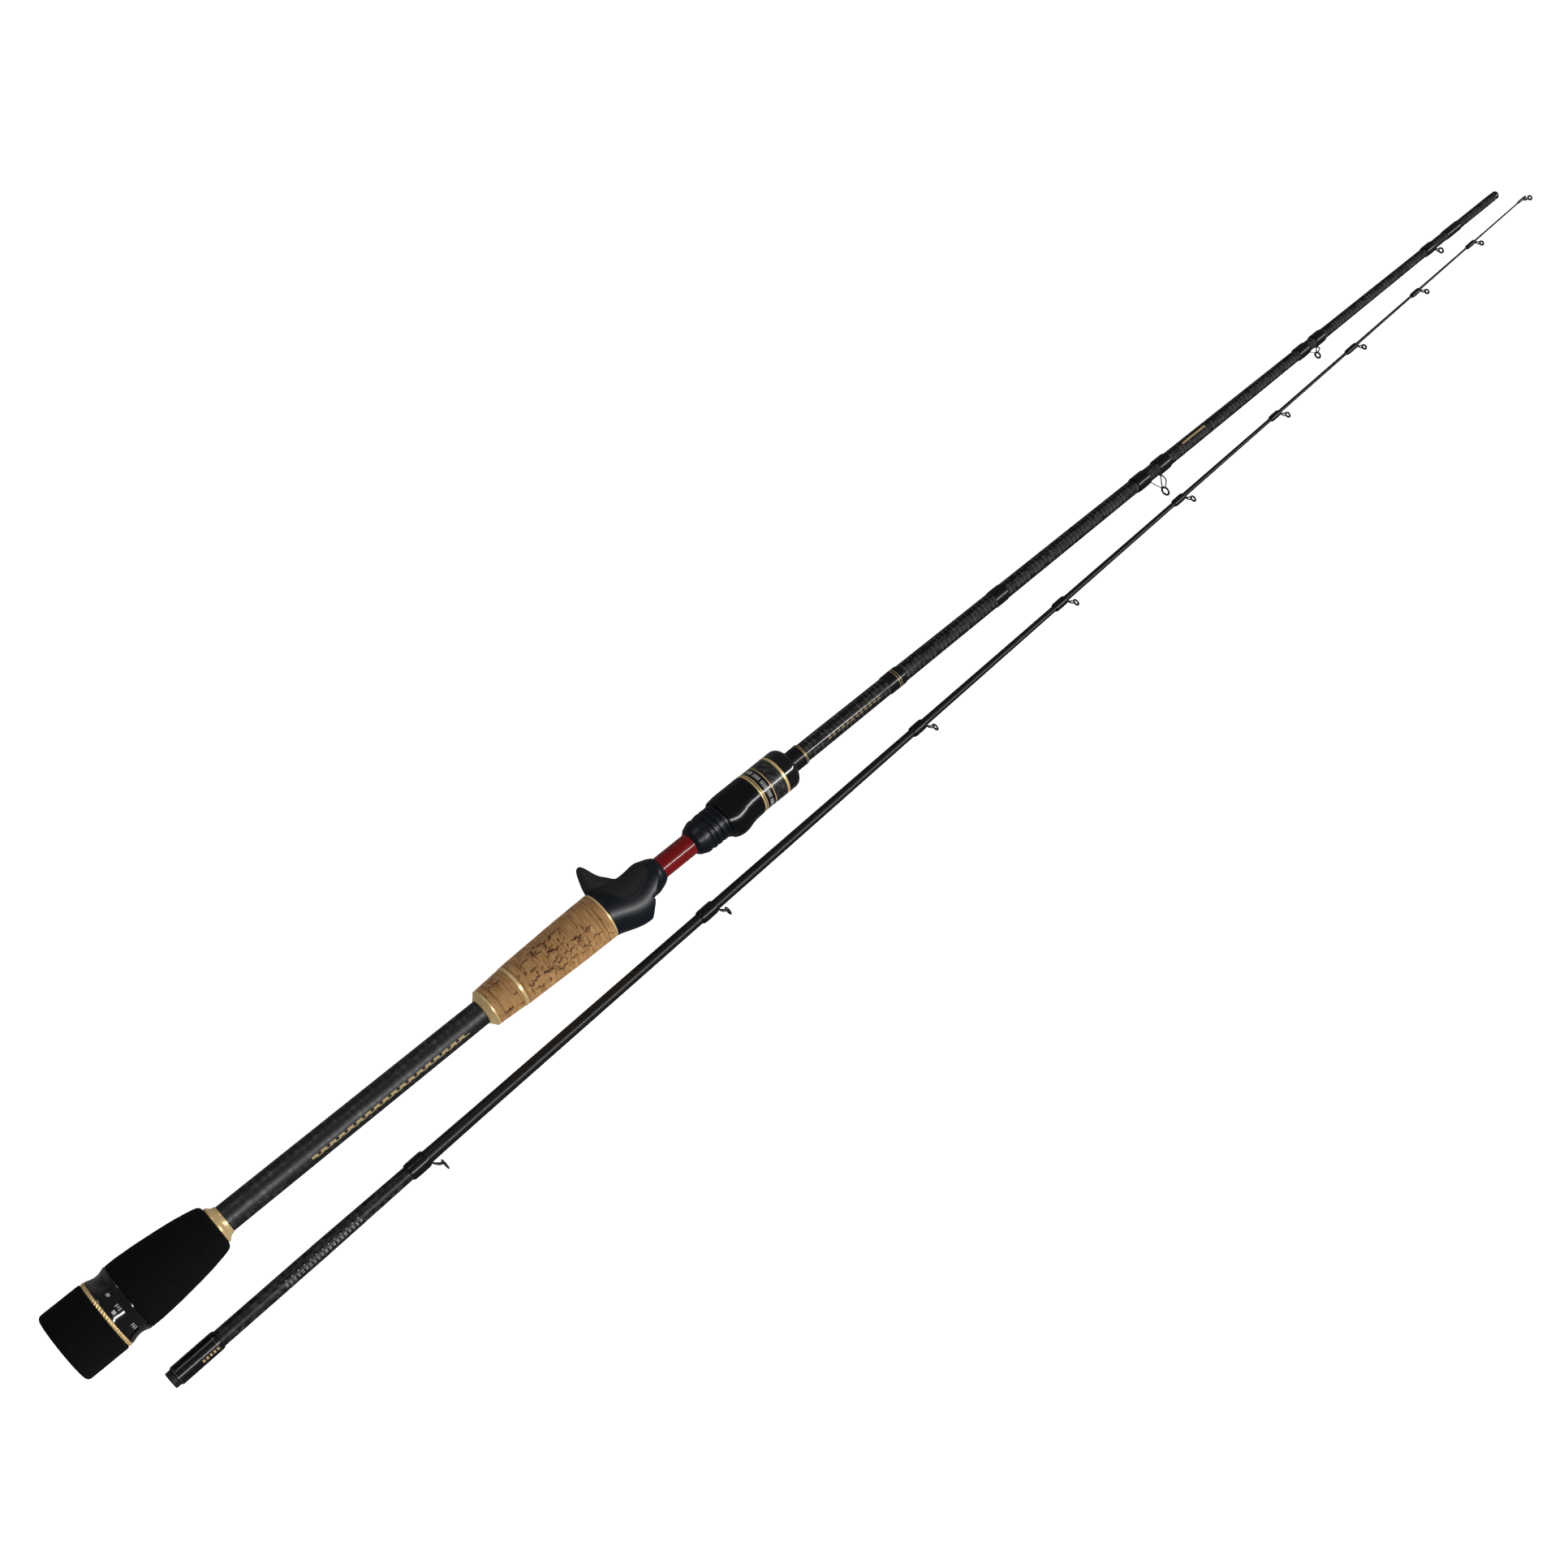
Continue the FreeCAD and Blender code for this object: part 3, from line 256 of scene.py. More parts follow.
def pipe_paint():
    paint = Paint("carbon_pipe", (0.02, 0.02, 0.021), 0.42, Coat_Weight=0.2, Coat_Roughness=0.4)
    check = paint.math("MULTIPLY", paint.braid(3.6, 10.0), paint.ramp(paint.grain(330.0), 0.4, 0.6))
    cloud = paint.ramp(paint.grain(120.0, 3.0), 0.38, 0.62, 0.25, 1.0)
    paint.set("Base Color", paint.mix(paint.math("MULTIPLY", check, cloud),
                                      (0.0055, 0.0055, 0.0062, 1), (0.052, 0.049, 0.053, 1)))
    paint.set("Roughness", paint.ramp(check, 0.0, 1.0, 0.48, 0.38))
    return paint.material


def cork_paint():
    paint = Paint("cork", (0.42, 0.23, 0.09), 0.75, Specular_IOR_Level=0.25)
    tone = paint.mix(paint.ramp(paint.drawn_grain(0.45, 5.0, 1.6, 4.0), 0.3, 0.7),
                     (0.27, 0.125, 0.040, 1), (0.52, 0.30, 0.122, 1))
    rings = paint.ramp(paint.drawn_grain(2.2, 1.6, 1.4, 4.0), 0.54, 0.66)
    tone = paint.mix(paint.math("MULTIPLY", rings, 0.62), tone, (0.17, 0.062, 0.017, 1))
    pale = paint.ramp(paint.grain(650.0, 3.0), 0.6, 0.75)
    tone = paint.mix(paint.math("MULTIPLY", pale, 0.4), tone, (0.58, 0.37, 0.19, 1))
    crack = paint.add("ShaderNodeAttribute", attribute_name="crack").outputs["Fac"]
    paint.set("Base Color", paint.mix(crack, tone, (0.040, 0.009, 0.004, 1)))
    paint.relief(paint.grain(1800.0, 4.0), 0.3, 0.2)
    return paint.material


def seat_paint():
    """Satin black; soft-touch where the piece's soft mark is 1, polished where gloss is 1."""
    paint = Paint("seat_polymer", (0.003, 0.005, 0.008), 0.4)
    soft = paint.add("ShaderNodeAttribute", attribute_name="soft").outputs["Fac"]
    gloss = paint.add("ShaderNodeAttribute", attribute_name="gloss").outputs["Fac"]
    paint.set("Base Color", paint.mix(soft, paint.mix(gloss, (0.0028, 0.0048, 0.0085, 1),
                                                      (0.002, 0.0024, 0.003, 1)),
                                      (0.0085, 0.0105, 0.0095, 1)))
    rough = paint.math("ADD", paint.ramp(paint.grain(900.0), 0.3, 0.7, 0.30, 0.38),
                       paint.math("MULTIPLY", soft, 0.26))
    paint.set("Roughness", paint.math("SUBTRACT", rough, paint.math("MULTIPLY", gloss, 0.17)))
    paint.relief(paint.grain(5200.0, 2.0), 0.12, 0.05)
    return paint.material


def plain_paint(name, colour, roughness, **more):
    paint = Paint(name, colour, roughness, **more)
    paint.set("Roughness", paint.ramp(paint.grain(700.0), 0.3, 0.7, roughness * 0.85,
                                      roughness * 1.15))
    return paint.material


def red_paint():
    paint = Paint("red_lacquer", (0.20, 0.0, 0.002), 0.35, Coat_Weight=1.0, Coat_Roughness=0.03,
                  Specular_IOR_Level=0.2)
    fibre = paint.drawn_grain(0.12, 40.0, 1.5, 3.0)
    paint.set("Base Color", paint.mix(fibre, (0.09, 0.0, 0.0008, 1), (0.29, 0.001, 0.003, 1)))
    return paint.material


def marbled_paint():
    paint = Paint("forged_carbon", (0.015, 0.015, 0.015), 0.3, Coat_Weight=0.7,
                  Coat_Roughness=0.08)
    station, turn = paint.lengthwise()
    slant = paint.add("ShaderNodeCombineXYZ", {
        0: paint.math("ADD", paint.math("MULTIPLY", station, 0.14), paint.math("MULTIPLY", turn, 6.0)),
        1: paint.math("MULTIPLY", paint.math("SUBTRACT", station, paint.math("MULTIPLY", turn, 30.0)),
                      0.36)})
    streak = paint.grain(1.6, 5.0, slant.outputs[0], 0.65)
    paint.set("Base Color", paint.mix(paint.ramp(streak, 0.46, 0.72), (0.0045, 0.0045, 0.0042, 1),
                                      (0.085, 0.083, 0.078, 1)))
    return paint.material


def blank_paint():
    paint = Paint("butt_carbon", (0.01, 0.01, 0.01), 0.3, Coat_Weight=0.8, Coat_Roughness=0.1,
                  Specular_IOR_Level=0.22)
    station, turn = paint.lengthwise()
    braid = paint.math("MULTIPLY", paint.braid(3.0, 8.0), paint.ramp(paint.grain(300.0), 0.36, 0.56))
    rough = paint.ramp(station, 470.0, 540.0)
    paint.set("Base Color", paint.mix(braid, (0.0018, 0.0018, 0.0019, 1),
                                      (0.050, 0.048, 0.046, 1)))
    paint.set("Coat Weight", paint.ramp(rough, 0.0, 1.0, 0.9, 0.1))
    paint.set("Coat Roughness", paint.ramp(rough, 0.0, 1.0, 0.05, 0.4))
    paint.set("Roughness", paint.ramp(rough, 0.0, 1.0, 0.35, 0.58))
    paint.relief(paint.math("MULTIPLY", braid, rough), 0.8, 0.1)
    return paint.material


def thread_paint(name="wrap_lacquer", low=(0.0012, 0.0012, 0.0014), high=(0.0035, 0.0035, 0.004)):
    """Fine thread, wound side by side, under clear lacquer."""
    paint = Paint(name, low, 0.4, Coat_Weight=0.6, Coat_Roughness=0.1, Specular_IOR_Level=0.2)
    station, turn = paint.lengthwise()
    wound = paint.math("ADD", paint.math("MULTIPLY", station, 4.2), turn)
    thread = paint.math("SINE", paint.math("MULTIPLY", wound, TAU))
    shade = paint.ramp(thread, -1.0, 1.0)
    paint.set("Base Color", paint.mix(shade, (*low, 1), (*high, 1)))
    return paint.material


def tip_paint():
    paint = Paint("tip_carbon", (0.012, 0.009, 0.008), 0.42, Coat_Weight=0.6, Coat_Roughness=0.1,
                  Specular_IOR_Level=0.25)
    station, turn = paint.lengthwise()
    mottle = paint.math("MULTIPLY", paint.ramp(paint.grain(460.0, 4.0), 0.42, 0.62),
                        paint.ramp(paint.grain(170.0, 2.0), 0.35, 0.6, 0.4, 1.0))
    rear = paint.ramp(station, 120.0, 150.0, 1.0, 0.12)
    paint.set("Base Color", paint.mix(paint.math("MULTIPLY", mottle, rear),
                                      (0.0062, 0.0046, 0.0038, 1), (0.048, 0.043, 0.042, 1)))
    paint.set("Coat Weight", paint.ramp(rear, 0.12, 1.0, 0.3, 0.1))
    paint.set("Coat Roughness", paint.ramp(rear, 0.12, 1.0, 0.22, 0.4))
    tape = paint.math("SINE", paint.math("MULTIPLY", paint.math(
        "ADD", paint.math("MULTIPLY", station, 0.62), turn), TAU))
    fade = paint.math("MULTIPLY", paint.ramp(station, 146.0, 152.0),
                      paint.ramp(station, 190.0, 330.0, 1.0, 0.15))
    paint.relief(paint.math("MULTIPLY", tape, fade), 0.35, 0.05)
    return paint.material


def wire_paint():
    paint = Paint("guide_metal", (0.09, 0.09, 0.095), 0.2, Metallic=0.7)
    paint.set("Roughness", paint.ramp(paint.grain(1500.0), 0.3, 0.7, 0.15, 0.28))
    return paint.material


PAINTS = {
    "eva_foam": foam_paint(),
    "gold_metal": gold_paint(),
    "gold_thread": gold_paint("gold_thread", (0.40, 0.31, 0.16), 0.35, 0.4),
    "end_disc": plain_paint("end_disc", (0.02, 0.016, 0.012), 0.2, Coat_Weight=0.6),
    "lacquered_collar": collar_paint(),
    "carbon_pipe": pipe_paint(),
    "cork": cork_paint(),
    "seat_polymer": seat_paint(),
    "inner_polymer": plain_paint("inner_polymer", (0.004, 0.004, 0.0045), 0.45),
    "arbor_foam": plain_paint("arbor_foam", (0.3, 0.3, 0.28), 0.8),
    "red_lacquer": red_paint(),
    "nut_band_ink": plain_paint("nut_band_ink", (0.003, 0.003, 0.0035), 0.2, Coat_Weight=0.7),
    "forged_carbon": marbled_paint(),
    "gloss_cap": plain_paint("gloss_cap", (0.0015, 0.0015, 0.0018), 0.15, Coat_Weight=1.0,
                             Coat_Roughness=0.02),
    "butt_carbon": blank_paint(),
    "wrap_lacquer": thread_paint(),
    "tip_carbon": tip_paint(),
    "rim_silver": plain_paint("rim_silver", (0.10, 0.09, 0.08), 0.25, Metallic=0.6),
    "guide_metal": wire_paint(),
    "gold_print": gold_paint("gold_print", (0.62, 0.47, 0.24), 0.3, 0.3),
    "silver_print": plain_paint("silver_print", (0.5, 0.5, 0.5), 0.3),
    "guide_ring": plain_paint("guide_ring", (0.01, 0.01, 0.011), 0.14, Coat_Weight=0.6),
}


# ---------------------------------------------------------------- building pieces
def piece(name, section, points, faces, uvs, paint, part, replaced=(), flat_angle=35.0):
    """A mesh from points in a section's millimetres. uvs holds (station, turns) for each corner."""
    mesh = bpy.data.meshes.new(name)
    mesh.from_pydata(section.world(points).tolist(), [], faces)
    if uvs is not None:
        layer = mesh.uv_layers.new(name="UVMap")
        layer.data.foreach_set("uv", np.asarray(uvs, np.float32).ravel())
    mesh.materials.append(PAINTS[paint])
    mesh.shade_smooth()
    mesh.set_sharp_from_angle(angle=math.radians(flat_angle))
    made = bpy.data.objects.new(name, mesh)
    bpy.context.scene.collection.objects.link(made)
    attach(made, part.body)
    if replaced:
        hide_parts(*replaced)
    return made


def lathe_faces(rows, columns, closed):
    """Quads of a surface round the axis, with each corner's (row, column) for its map."""
    faces, corners = [], []
    for row in range(rows if closed else rows - 1):
        after = (row + 1) % rows
        for column in range(columns):
            beside = (column + 1) % columns
            faces.append((row * columns + column, row * columns + beside,
                          after * columns + beside, after * columns + column))
            corners += [(row, column), (row, column + 1), (after, column + 1), (after, column)]
    return faces, np.array(corners)


def dense(profile, step):
    """The profile with its long runs divided, its corners kept."""
    rows = [profile[0]]
    for (s0, r0), (s1, r1) in zip(profile, profile[1:]):
        count = max(1, math.ceil(math.hypot(s1 - s0, r1 - r0) / step))
        rows += [(s0 + (s1 - s0) * k / count, r0 + (r1 - r0) * k / count)
                 for k in range(1, count + 1)]
    return np.array(rows, float)


def softened(rows, reach):
    """Eases the outline over a distance either side, and leaves its two ends where they are."""
    if not reach:
        return rows
    station, radius = rows.T
    area = np.concatenate([[0.0], np.cumsum(np.diff(station) * (radius[1:] + radius[:-1]) / 2)])
    room = np.minimum(reach, np.minimum(station - station[0], station[-1] - station))
    swept = np.interp(station + room, station, area) - np.interp(station - room, station, area)
    return np.column_stack([station, np.where(room > 0.01, swept / np.maximum(2 * room, 0.02), radius)])


def rounded_ends(rows, rear, front):
    """Rounds the outline off at its two ends."""
    rows = rows.copy()
    for gap, size in ((rows[:, 0] - rows[0, 0], rear), (rows[-1, 0] - rows[:, 0], front)):
        if size:
            inside = np.clip(size - gap, 0.0, size)
            rows[:, 1] -= size - np.sqrt(np.maximum(size ** 2 - inside ** 2, 0.0))
    return rows


def turned(name, part, step=0.5, soften=0.0, rear=0.15, front=0.15, columns=96, detail=None,
           cracks=None, replaced=None, inner=()):
    """A turned piece over a turned node. detail(station, angle, radius) gives the finished radius.

    cracks(station, angle, radius) marks the skin from 0 to 1 for the cork's paint. inner holds the
    (station, radius) corners on the way back from the front end to the rear, where a radius may
    also be a row of radii, one for each column. Without it the piece is bored straight through.
    """
    profile = part.profile()
    ends = [part.start + share * rear for share in (0.1, 0.3, 0.6)] if rear else []
    ends += [part.end - share * front for share in (0.6, 0.3, 0.1)] if front else []
    stations = np.unique(np.concatenate([dense(profile, step)[:, 0], ends]))
    steps = profile[np.concatenate([[True], np.diff(profile[:, 0]) > 1e-6])]
    rows = np.column_stack([stations, np.interp(stations, steps[:, 0], steps[:, 1])])
    rows = rounded_ends(softened(rows, soften), rear, front)
    angles = np.arange(columns) / columns * TAU
    radius = np.repeat(rows[:, 1:2], columns, axis=1)
    if detail:
        radius = detail(rows[:, :1], angles[None, :], radius)
    hole = part.radii.min()
    back = inner or ([(part.end, hole), (part.start, hole)] if hole > 0.05 else [])
    station = np.concatenate([rows[:, 0], [corner[0] for corner in back]])
    reach = np.concatenate([radius] + [np.full((1, columns), corner[1]) for corner in back])
    points = np.stack([np.repeat(station[:, None], columns, axis=1), reach * np.cos(angles),
                       reach * np.sin(angles)], axis=2).reshape(-1, 3)
    faces, corners = lathe_faces(len(station), columns, hole > 0.05)
    if hole <= 0.05:
        count = len(station)
        faces.append(tuple(range(columns)))
        faces.append(tuple(range(count * columns - 1, (count - 1) * columns - 1, -1)))
        corners = np.concatenate([corners, [(0, k) for k in range(columns)],
                                  [(count - 1, columns - 1 - k) for k in range(columns)]])
    uvs = np.column_stack([station[corners[:, 0]], corners[:, 1] / columns])
    # The angle grows from the side towards up, so the quads above face outwards as they are.
    made = piece(name, part.section, points, [f[::-1] for f in faces], turned_back(uvs, faces),
                 SLOTS[part.name], part, [part.name] if replaced is None else replaced)
    if cracks is not None:
        values = np.zeros(len(points), np.float32)
        marks = cracks(rows[:, :1], angles[None, :], radius)
        values[:marks.size] = marks.ravel()
        made.data.attributes.new("crack", "FLOAT", "POINT").data.foreach_set("value", values)
    return made


def turned_back(uvs, faces):
    """The same corners in the order of the faces once each is turned over."""
    rows, at = [], 0
    for face in faces:
        rows.append(uvs[at:at + len(face)][::-1])
        at += len(face)
    return np.concatenate(rows)


def tube(points, radii, sides=12):
    """A round wire through points, as vertices and faces, with both ends closed."""
    points = np.asarray(points, float)
    radii = np.broadcast_to(radii, len(points))
    along = np.gradient(points, axis=0)
    along /= np.linalg.norm(along, axis=1)[:, None]
    normal = np.cross(along[0], (0.0, 0.0, 1.0))
    if np.linalg.norm(normal) < 0.1:
        normal = np.cross(along[0], (0.0, 1.0, 0.0))
    rings = []
    for centre, direction, radius in zip(points, along, radii):
        normal = normal - direction * normal.dot(direction)
        normal /= np.linalg.norm(normal)
        other = np.cross(direction, normal)
        for k in range(sides):
            turn = k / sides * TAU
            rings.append(centre + radius * (normal * math.cos(turn) + other * math.sin(turn)))
    faces, _ = lathe_faces(len(points), sides, False)
    faces.append(tuple(range(sides - 1, -1, -1)))
    faces.append(tuple(range((len(points) - 1) * sides, len(points) * sides)))
    return np.array(rings), faces


def torus(centre, major, minor, columns=40, sides=14, depth=1.0):
    """A ring whose axis lies along the section; depth stretches its wire along that axis."""
    points = []
    for k in range(columns):
        around = k / columns * TAU
        for j in range(sides):
            turn = j / sides * TAU
            reach = major + minor * math.cos(turn)
            points.append((centre[0] + minor * depth * math.sin(turn),
                           centre[1] + reach * math.cos(around),
                           centre[2] + reach * math.sin(around)))
    faces, _ = lathe_faces(columns, sides, True)
    return np.array(points), faces


def curve(*knots, count=14):
    """A smooth line through the knots (Catmull-Rom)."""
    knots = np.array(knots, float)
    padded = np.vstack([2 * knots[0] - knots[1], knots, 2 * knots[-1] - knots[-2]])
    rows = []
    for a, b, c, d in zip(padded, padded[1:], padded[2:], padded[3:]):
        for t in np.linspace(0, 1, count, endpoint=False):
            rows.append(0.5 * (2 * b + (c - a) * t + (2 * a - 5 * b + 4 * c - d) * t ** 2
                               + (3 * b - a - 3 * c + d) * t ** 3))
    rows.append(knots[-1])
    return np.array(rows)


def joined(*shapes):
    """Several shapes as one list of vertices and faces."""
    points, faces, offset = [], [], 0
    for shape_points, shape_faces in shapes:
        points.append(shape_points)
        faces += [tuple(corner + offset for corner in face) for face in shape_faces]
        offset += len(shape_points)
    return np.vstack(points), faces


def outward(made):
    """Turns a piece's faces outwards."""
    work = bmesh.new()
    work.from_mesh(made.data)
    bmesh.ops.recalc_face_normals(work, faces=work.faces)
    work.to_mesh(made.data)
    work.free()
    return made


def noisy(station, angle, radius, size, seed=0.0):
    """Smooth noise over a skin, about -1 to 1, on a grid of stations and angles."""
    s, a, r = np.broadcast_arrays(station, angle, radius)
    flat = [noise.noise(Vector((x / size + seed, q * math.cos(w) / size, q * math.sin(w) / size)))
            for x, w, q in zip(s.ravel(), a.ravel(), r.ravel())]
    return np.array(flat).reshape(s.shape)


# ---------------------------------------------------------------- butt end, grips and cork
def foam(station, angle, radius):
    return radius + 0.035 * noisy(station, angle, radius, 1.1) - 0.02


def rope(part):
    """Fine slanting notches along both edges of a trim ring."""
    middle, half = (part.start + part.end) / 2, (part.end - part.start) / 2

    def detail(station, angle, radius):
        edge = np.clip((np.abs(station - middle) / half - 0.35) / 0.65, 0, 1)
        notch = np.cos(66 * angle + 2.4 * (station - middle))
        return radius - edge * 0.2 - 0.16 + 0.16 * np.clip(notch * 1.6, -1, 1)

    return detail


def butt_end():
    cap = Part("butt_cap")
    ring = Part("butt_end_ring")
    lip, floor, bore = ring.radii.max() + 0.03, ring.end + 0.03, cap.radii.min()
    made = turned("butt_cap_foam", cap, step=0.5, rear=0.0, front=0.0, columns=160, detail=foam,
                  inner=[(cap.end, bore), (floor, bore), (floor, lip), (cap.start + 0.7, lip),
                         (cap.start + 0.2, lip + 0.2), (cap.start, lip + 0.6)])
    turned("butt_end_gold_ring", ring, step=0.3, rear=0.35, front=0.0, columns=128)
    disc = Part("butt_end_disc")
    turned("butt_end_plate", disc, step=0.3, rear=0.2, front=0.0, columns=96)
    trim = Part("butt_trim_ring")
    turned("butt_rope_ring", trim, step=0.1, rear=0.2, front=0.2, columns=480, detail=rope(trim))
    collar = Part("butt_collar")
    turned("butt_lacquer_collar", collar, step=0.3, soften=1.6, rear=0.25, front=0.25, columns=128)
    grip = Part("rear_grip")
    made = turned("rear_grip_foam", grip, step=0.5, soften=9.0, rear=0.6, front=0.0, columns=160,
                  detail=foam)
    check = Part("rear_winding_check")
    turned("rear_gold_check", check, step=0.12, soften=0.35, rear=0.3, front=0.3, columns=128,
           detail=concave(check, 0.28))


def concave(part, depth):
    """Hollows a cone a little along its length."""

    def detail(station, angle, radius):
        share = (station - part.start) / (part.end - part.start)
        return radius - depth * np.sin(np.pi * np.clip((share - 0.3) / 0.6, 0, 1)) ** 2

    return detail


def handle_pipe():
    pipe = Part("rear_handle_tube")
    turned("handle_carbon_pipe", pipe, step=2.0, rear=0.0, front=0.0, columns=96)


class Cracks:
    """Cork's dark cracks: jagged chains along the handle, cross-checks on them, and small nicks."""

    def __init__(self, part, chains, nicks, seed):
        random = np.random.default_rng(seed)
        self.lines = []
        for start, end, degrees in chains:
            chain = self.line(random, (start + end) / 2, math.radians(degrees), end - start, True,
                              0.46)
            self.lines.append(chain)
            for _ in range(int((end - start) / 2.6)):
                station = random.uniform(start, end)
                angle = chain["angle"] + random.normal(0.0, 0.13)
                along = random.random() < 0.45
                self.lines.append(self.line(random, station, angle, random.uniform(1.5, 5.0), along,
                                            random.uniform(0.2, 0.42)))
        for _ in range(nicks):
            self.lines.append(self.line(random, random.uniform(part.start, part.end),
                                        random.uniform(0, TAU), random.uniform(0.8, 3.2),
                                        random.random() < 0.4, random.uniform(0.16, 0.34)))

    @staticmethod
    def line(random, station, angle, length, along, width):
        return {"station": station, "angle": angle, "length": length, "along": along,
                "width": width, "phase": random.uniform(0, 100), "depth": random.uniform(0.6, 1.0)}

    def marks(self, station, angle, radius):
        s, a, r = np.broadcast_arrays(station, angle, radius)
        dark = np.zeros(s.shape)
        for line in self.lines:
            ds = s - line["station"]
            da = (np.mod(a - line["angle"] + math.pi, TAU) - math.pi) * r
            run, across = (ds, da) if line["along"] else (da, ds)
            phase = line["phase"]
            sway = (0.7 * np.sin(run * 0.42 + phase) + 0.3 * np.sin(run * 1.7 + phase * 2)
                    + 0.22 * np.sign(np.sin(run * 2.6 + phase * 3)))
            taper = np.clip(1 - (np.abs(run) / (line["length"] / 2)) ** 4, 0, 1)
            broken = np.clip(1.1 + 0.9 * np.sin(run * 0.8 + phase * 3), 0, 1)
            width = line["width"] * (0.5 + 0.5 * taper * broken)
            groove = np.exp(-((across - sway) / width) ** 2) * taper * broken * line["depth"]
            dark = np.maximum(dark, groove)
        return dark


def cork_piece(name, node, chains, nicks, seed, groove):
    part = Part(node)
    cracks = Cracks(part, chains, nicks, seed)

    def marks(station, angle, radius):
        line = np.exp(-((station - groove) / 0.25) ** 2) * 0.7
        dark = np.clip(cracks.marks(station, angle, radius) * 1.5, 0, 1)
        return np.maximum(dark, line + 0 * angle)

    def detail(station, angle, radius):
        grain = 0.05 * noisy(station, angle, radius, 2.4)
        return radius + grain - 0.06 - 0.34 * marks(station, angle, radius)

    turned(name, part, step=0.32, soften=4.0, rear=0.25, front=0.25, columns=288, detail=detail,
           cracks=marks)


def cork_handle():
    turned("cork_rear_gold_check", Part("cork_rear_check"), step=0.12, soften=0.3, rear=0.3,
           front=0.3, columns=128)
    short, long = Part("cork_ring_short"), Part("cork_grip")
    cork_piece("cork_short_ring", "cork_ring_short",
               [(236, 247, 152), (238, 246, 60), (235, 246, 215), (236, 248, 300)], 14, 5,
               short.start + 3.4)
    turned("cork_gold_divider", Part("cork_divider_ring"), step=0.15, rear=0.8, front=0.8,
           columns=128)
    cork_piece("cork_main_grip", "cork_grip",
               [(253, 278, 124), (270, 291, 116), (262, 284, 60), (254, 266, 146), (270, 281, 92),
                (280, 296, 104), (256, 263, 98), (254, 272, 72), (286, 300, 132),
                (254, 300, 205), (260, 292, 250), (270, 302, 300), (254, 280, 340),
                (268, 284, 140), (284, 302, 20)], 90, 11, long.end - 4.0)
    turned("cork_gold_front_ring", Part("cork_front_ring"), step=0.15, rear=0.3, front=0.3,
           columns=128)


# ---------------------------------------------------------------- reel seat, hood and nut
def eased(value, low, high):
    """0 up to low, 1 from high, and smooth in between."""
    share = np.clip((value - low) / (high - low), 0, 1)
    return share * share * (3 - 2 * share)


def moulded(name, node, voxel, passes, shape, softness):
    """A moulded piece: the CAD node with its edges and joints melted together a little.

    shape(points) gives new points, and softness(points) how soft the skin is, from 0 to 1.
    """
    part = Part(node)
    mesh = frame["nodes"][node].data.copy()
    made = bpy.data.objects.new(name, mesh)
    bpy.context.scene.collection.objects.link(made)
    remesh = made.modifiers.new("remesh", "REMESH")
    remesh.mode, remesh.voxel_size, remesh.adaptivity = "VOXEL", voxel * MM, 0.0
    smooth = made.modifiers.new("smooth", "SMOOTH")
    smooth.factor, smooth.iterations = 0.5, passes
    bpy.context.view_layer.update()
    finished = bpy.data.meshes.new_from_object(
        made.evaluated_get(bpy.context.evaluated_depsgraph_get()))
    made.modifiers.clear()
    made.data = finished
    points = shape(part.section.local([v.co for v in finished.vertices]))
    finished.vertices.foreach_set("co", part.section.world(points).astype(np.float32).ravel())
    soft = finished.attributes.new("soft", "FLOAT", "POINT")
    soft.data.foreach_set("value", softness(points).astype(np.float32))
    finished.materials.clear()
    finished.materials.append(PAINTS[SLOTS[node]])
    finished.shade_smooth()
    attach(made, part.body)
    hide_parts(node)


def saddle_edge(station):
    """How far to the side the edge of the soft-touch saddle runs, station by station."""
    return np.interp(station, [306, 311, 314, 316, 318, 322, 326, 330, 334, 338],
                     [13.5, 9.5, 3.5, -1.5, -4.2, -5.8, -5.6, -3.6, -1.5, 1.0])


def scooped(points):
    """The finger's saddle in front of the trigger, dished in from its S-shaped edge."""
    station, side, up = points.T
    inside = eased(side - saddle_edge(station), 0.0, 2.6) * eased(station, 312.0, 318.0)
    inside *= eased(-station, -338.0, -330.0) * eased(np.hypot(side, up), 9.3, 9.9)
    reach = np.maximum(np.hypot(side, up), 0.1)
    below_trigger = eased(-side, -13.5, -11.0)
    depth = 0.75 * inside * below_trigger
    shrink = 1 - depth / reach
    return np.column_stack([station, side * shrink, up * shrink])


def saddle_softness(points):
    """The soft-touch skin covers the saddle as far as its edge, and stops short of the blank."""
    station, side, _ = points.T
    return eased(side - saddle_edge(station), -0.5, 0.7) * eased(-station, -338.5, -337.0)


def threaded_barrel():
    """The barrel, with its coarse thread as a real helix where the CAD has ribs."""
    part = Part("threaded_barrel")
    profile = part.profile()
    threaded = profile[profile[:, 0] > part.start + 12.0, 1]
    crest, root = threaded.max(), threaded.min()
    ribs = profile[(profile[:, 1] > crest - 0.02) & (profile[:, 0] > part.start + 9.0), 0]
    first = ribs.min() - 1.1
    shoulder = first - 1.0

    def detail(station, angle, radius):
        turns = (station - first) / THREAD_PITCH - angle / TAU
        wave = 0.5 + 0.5 * np.cos(TAU * turns)
        tooth = eased(wave, 0.04, 0.5)
        fade = np.clip((station - first) / 1.5, 0, 1)
        thread = root + (crest - root) * tooth * fade
        return np.where(station > shoulder, thread, np.minimum(radius, crest))

    turned("barrel_thread", part, step=0.25, rear=0.8, front=0.4, columns=144, detail=detail)


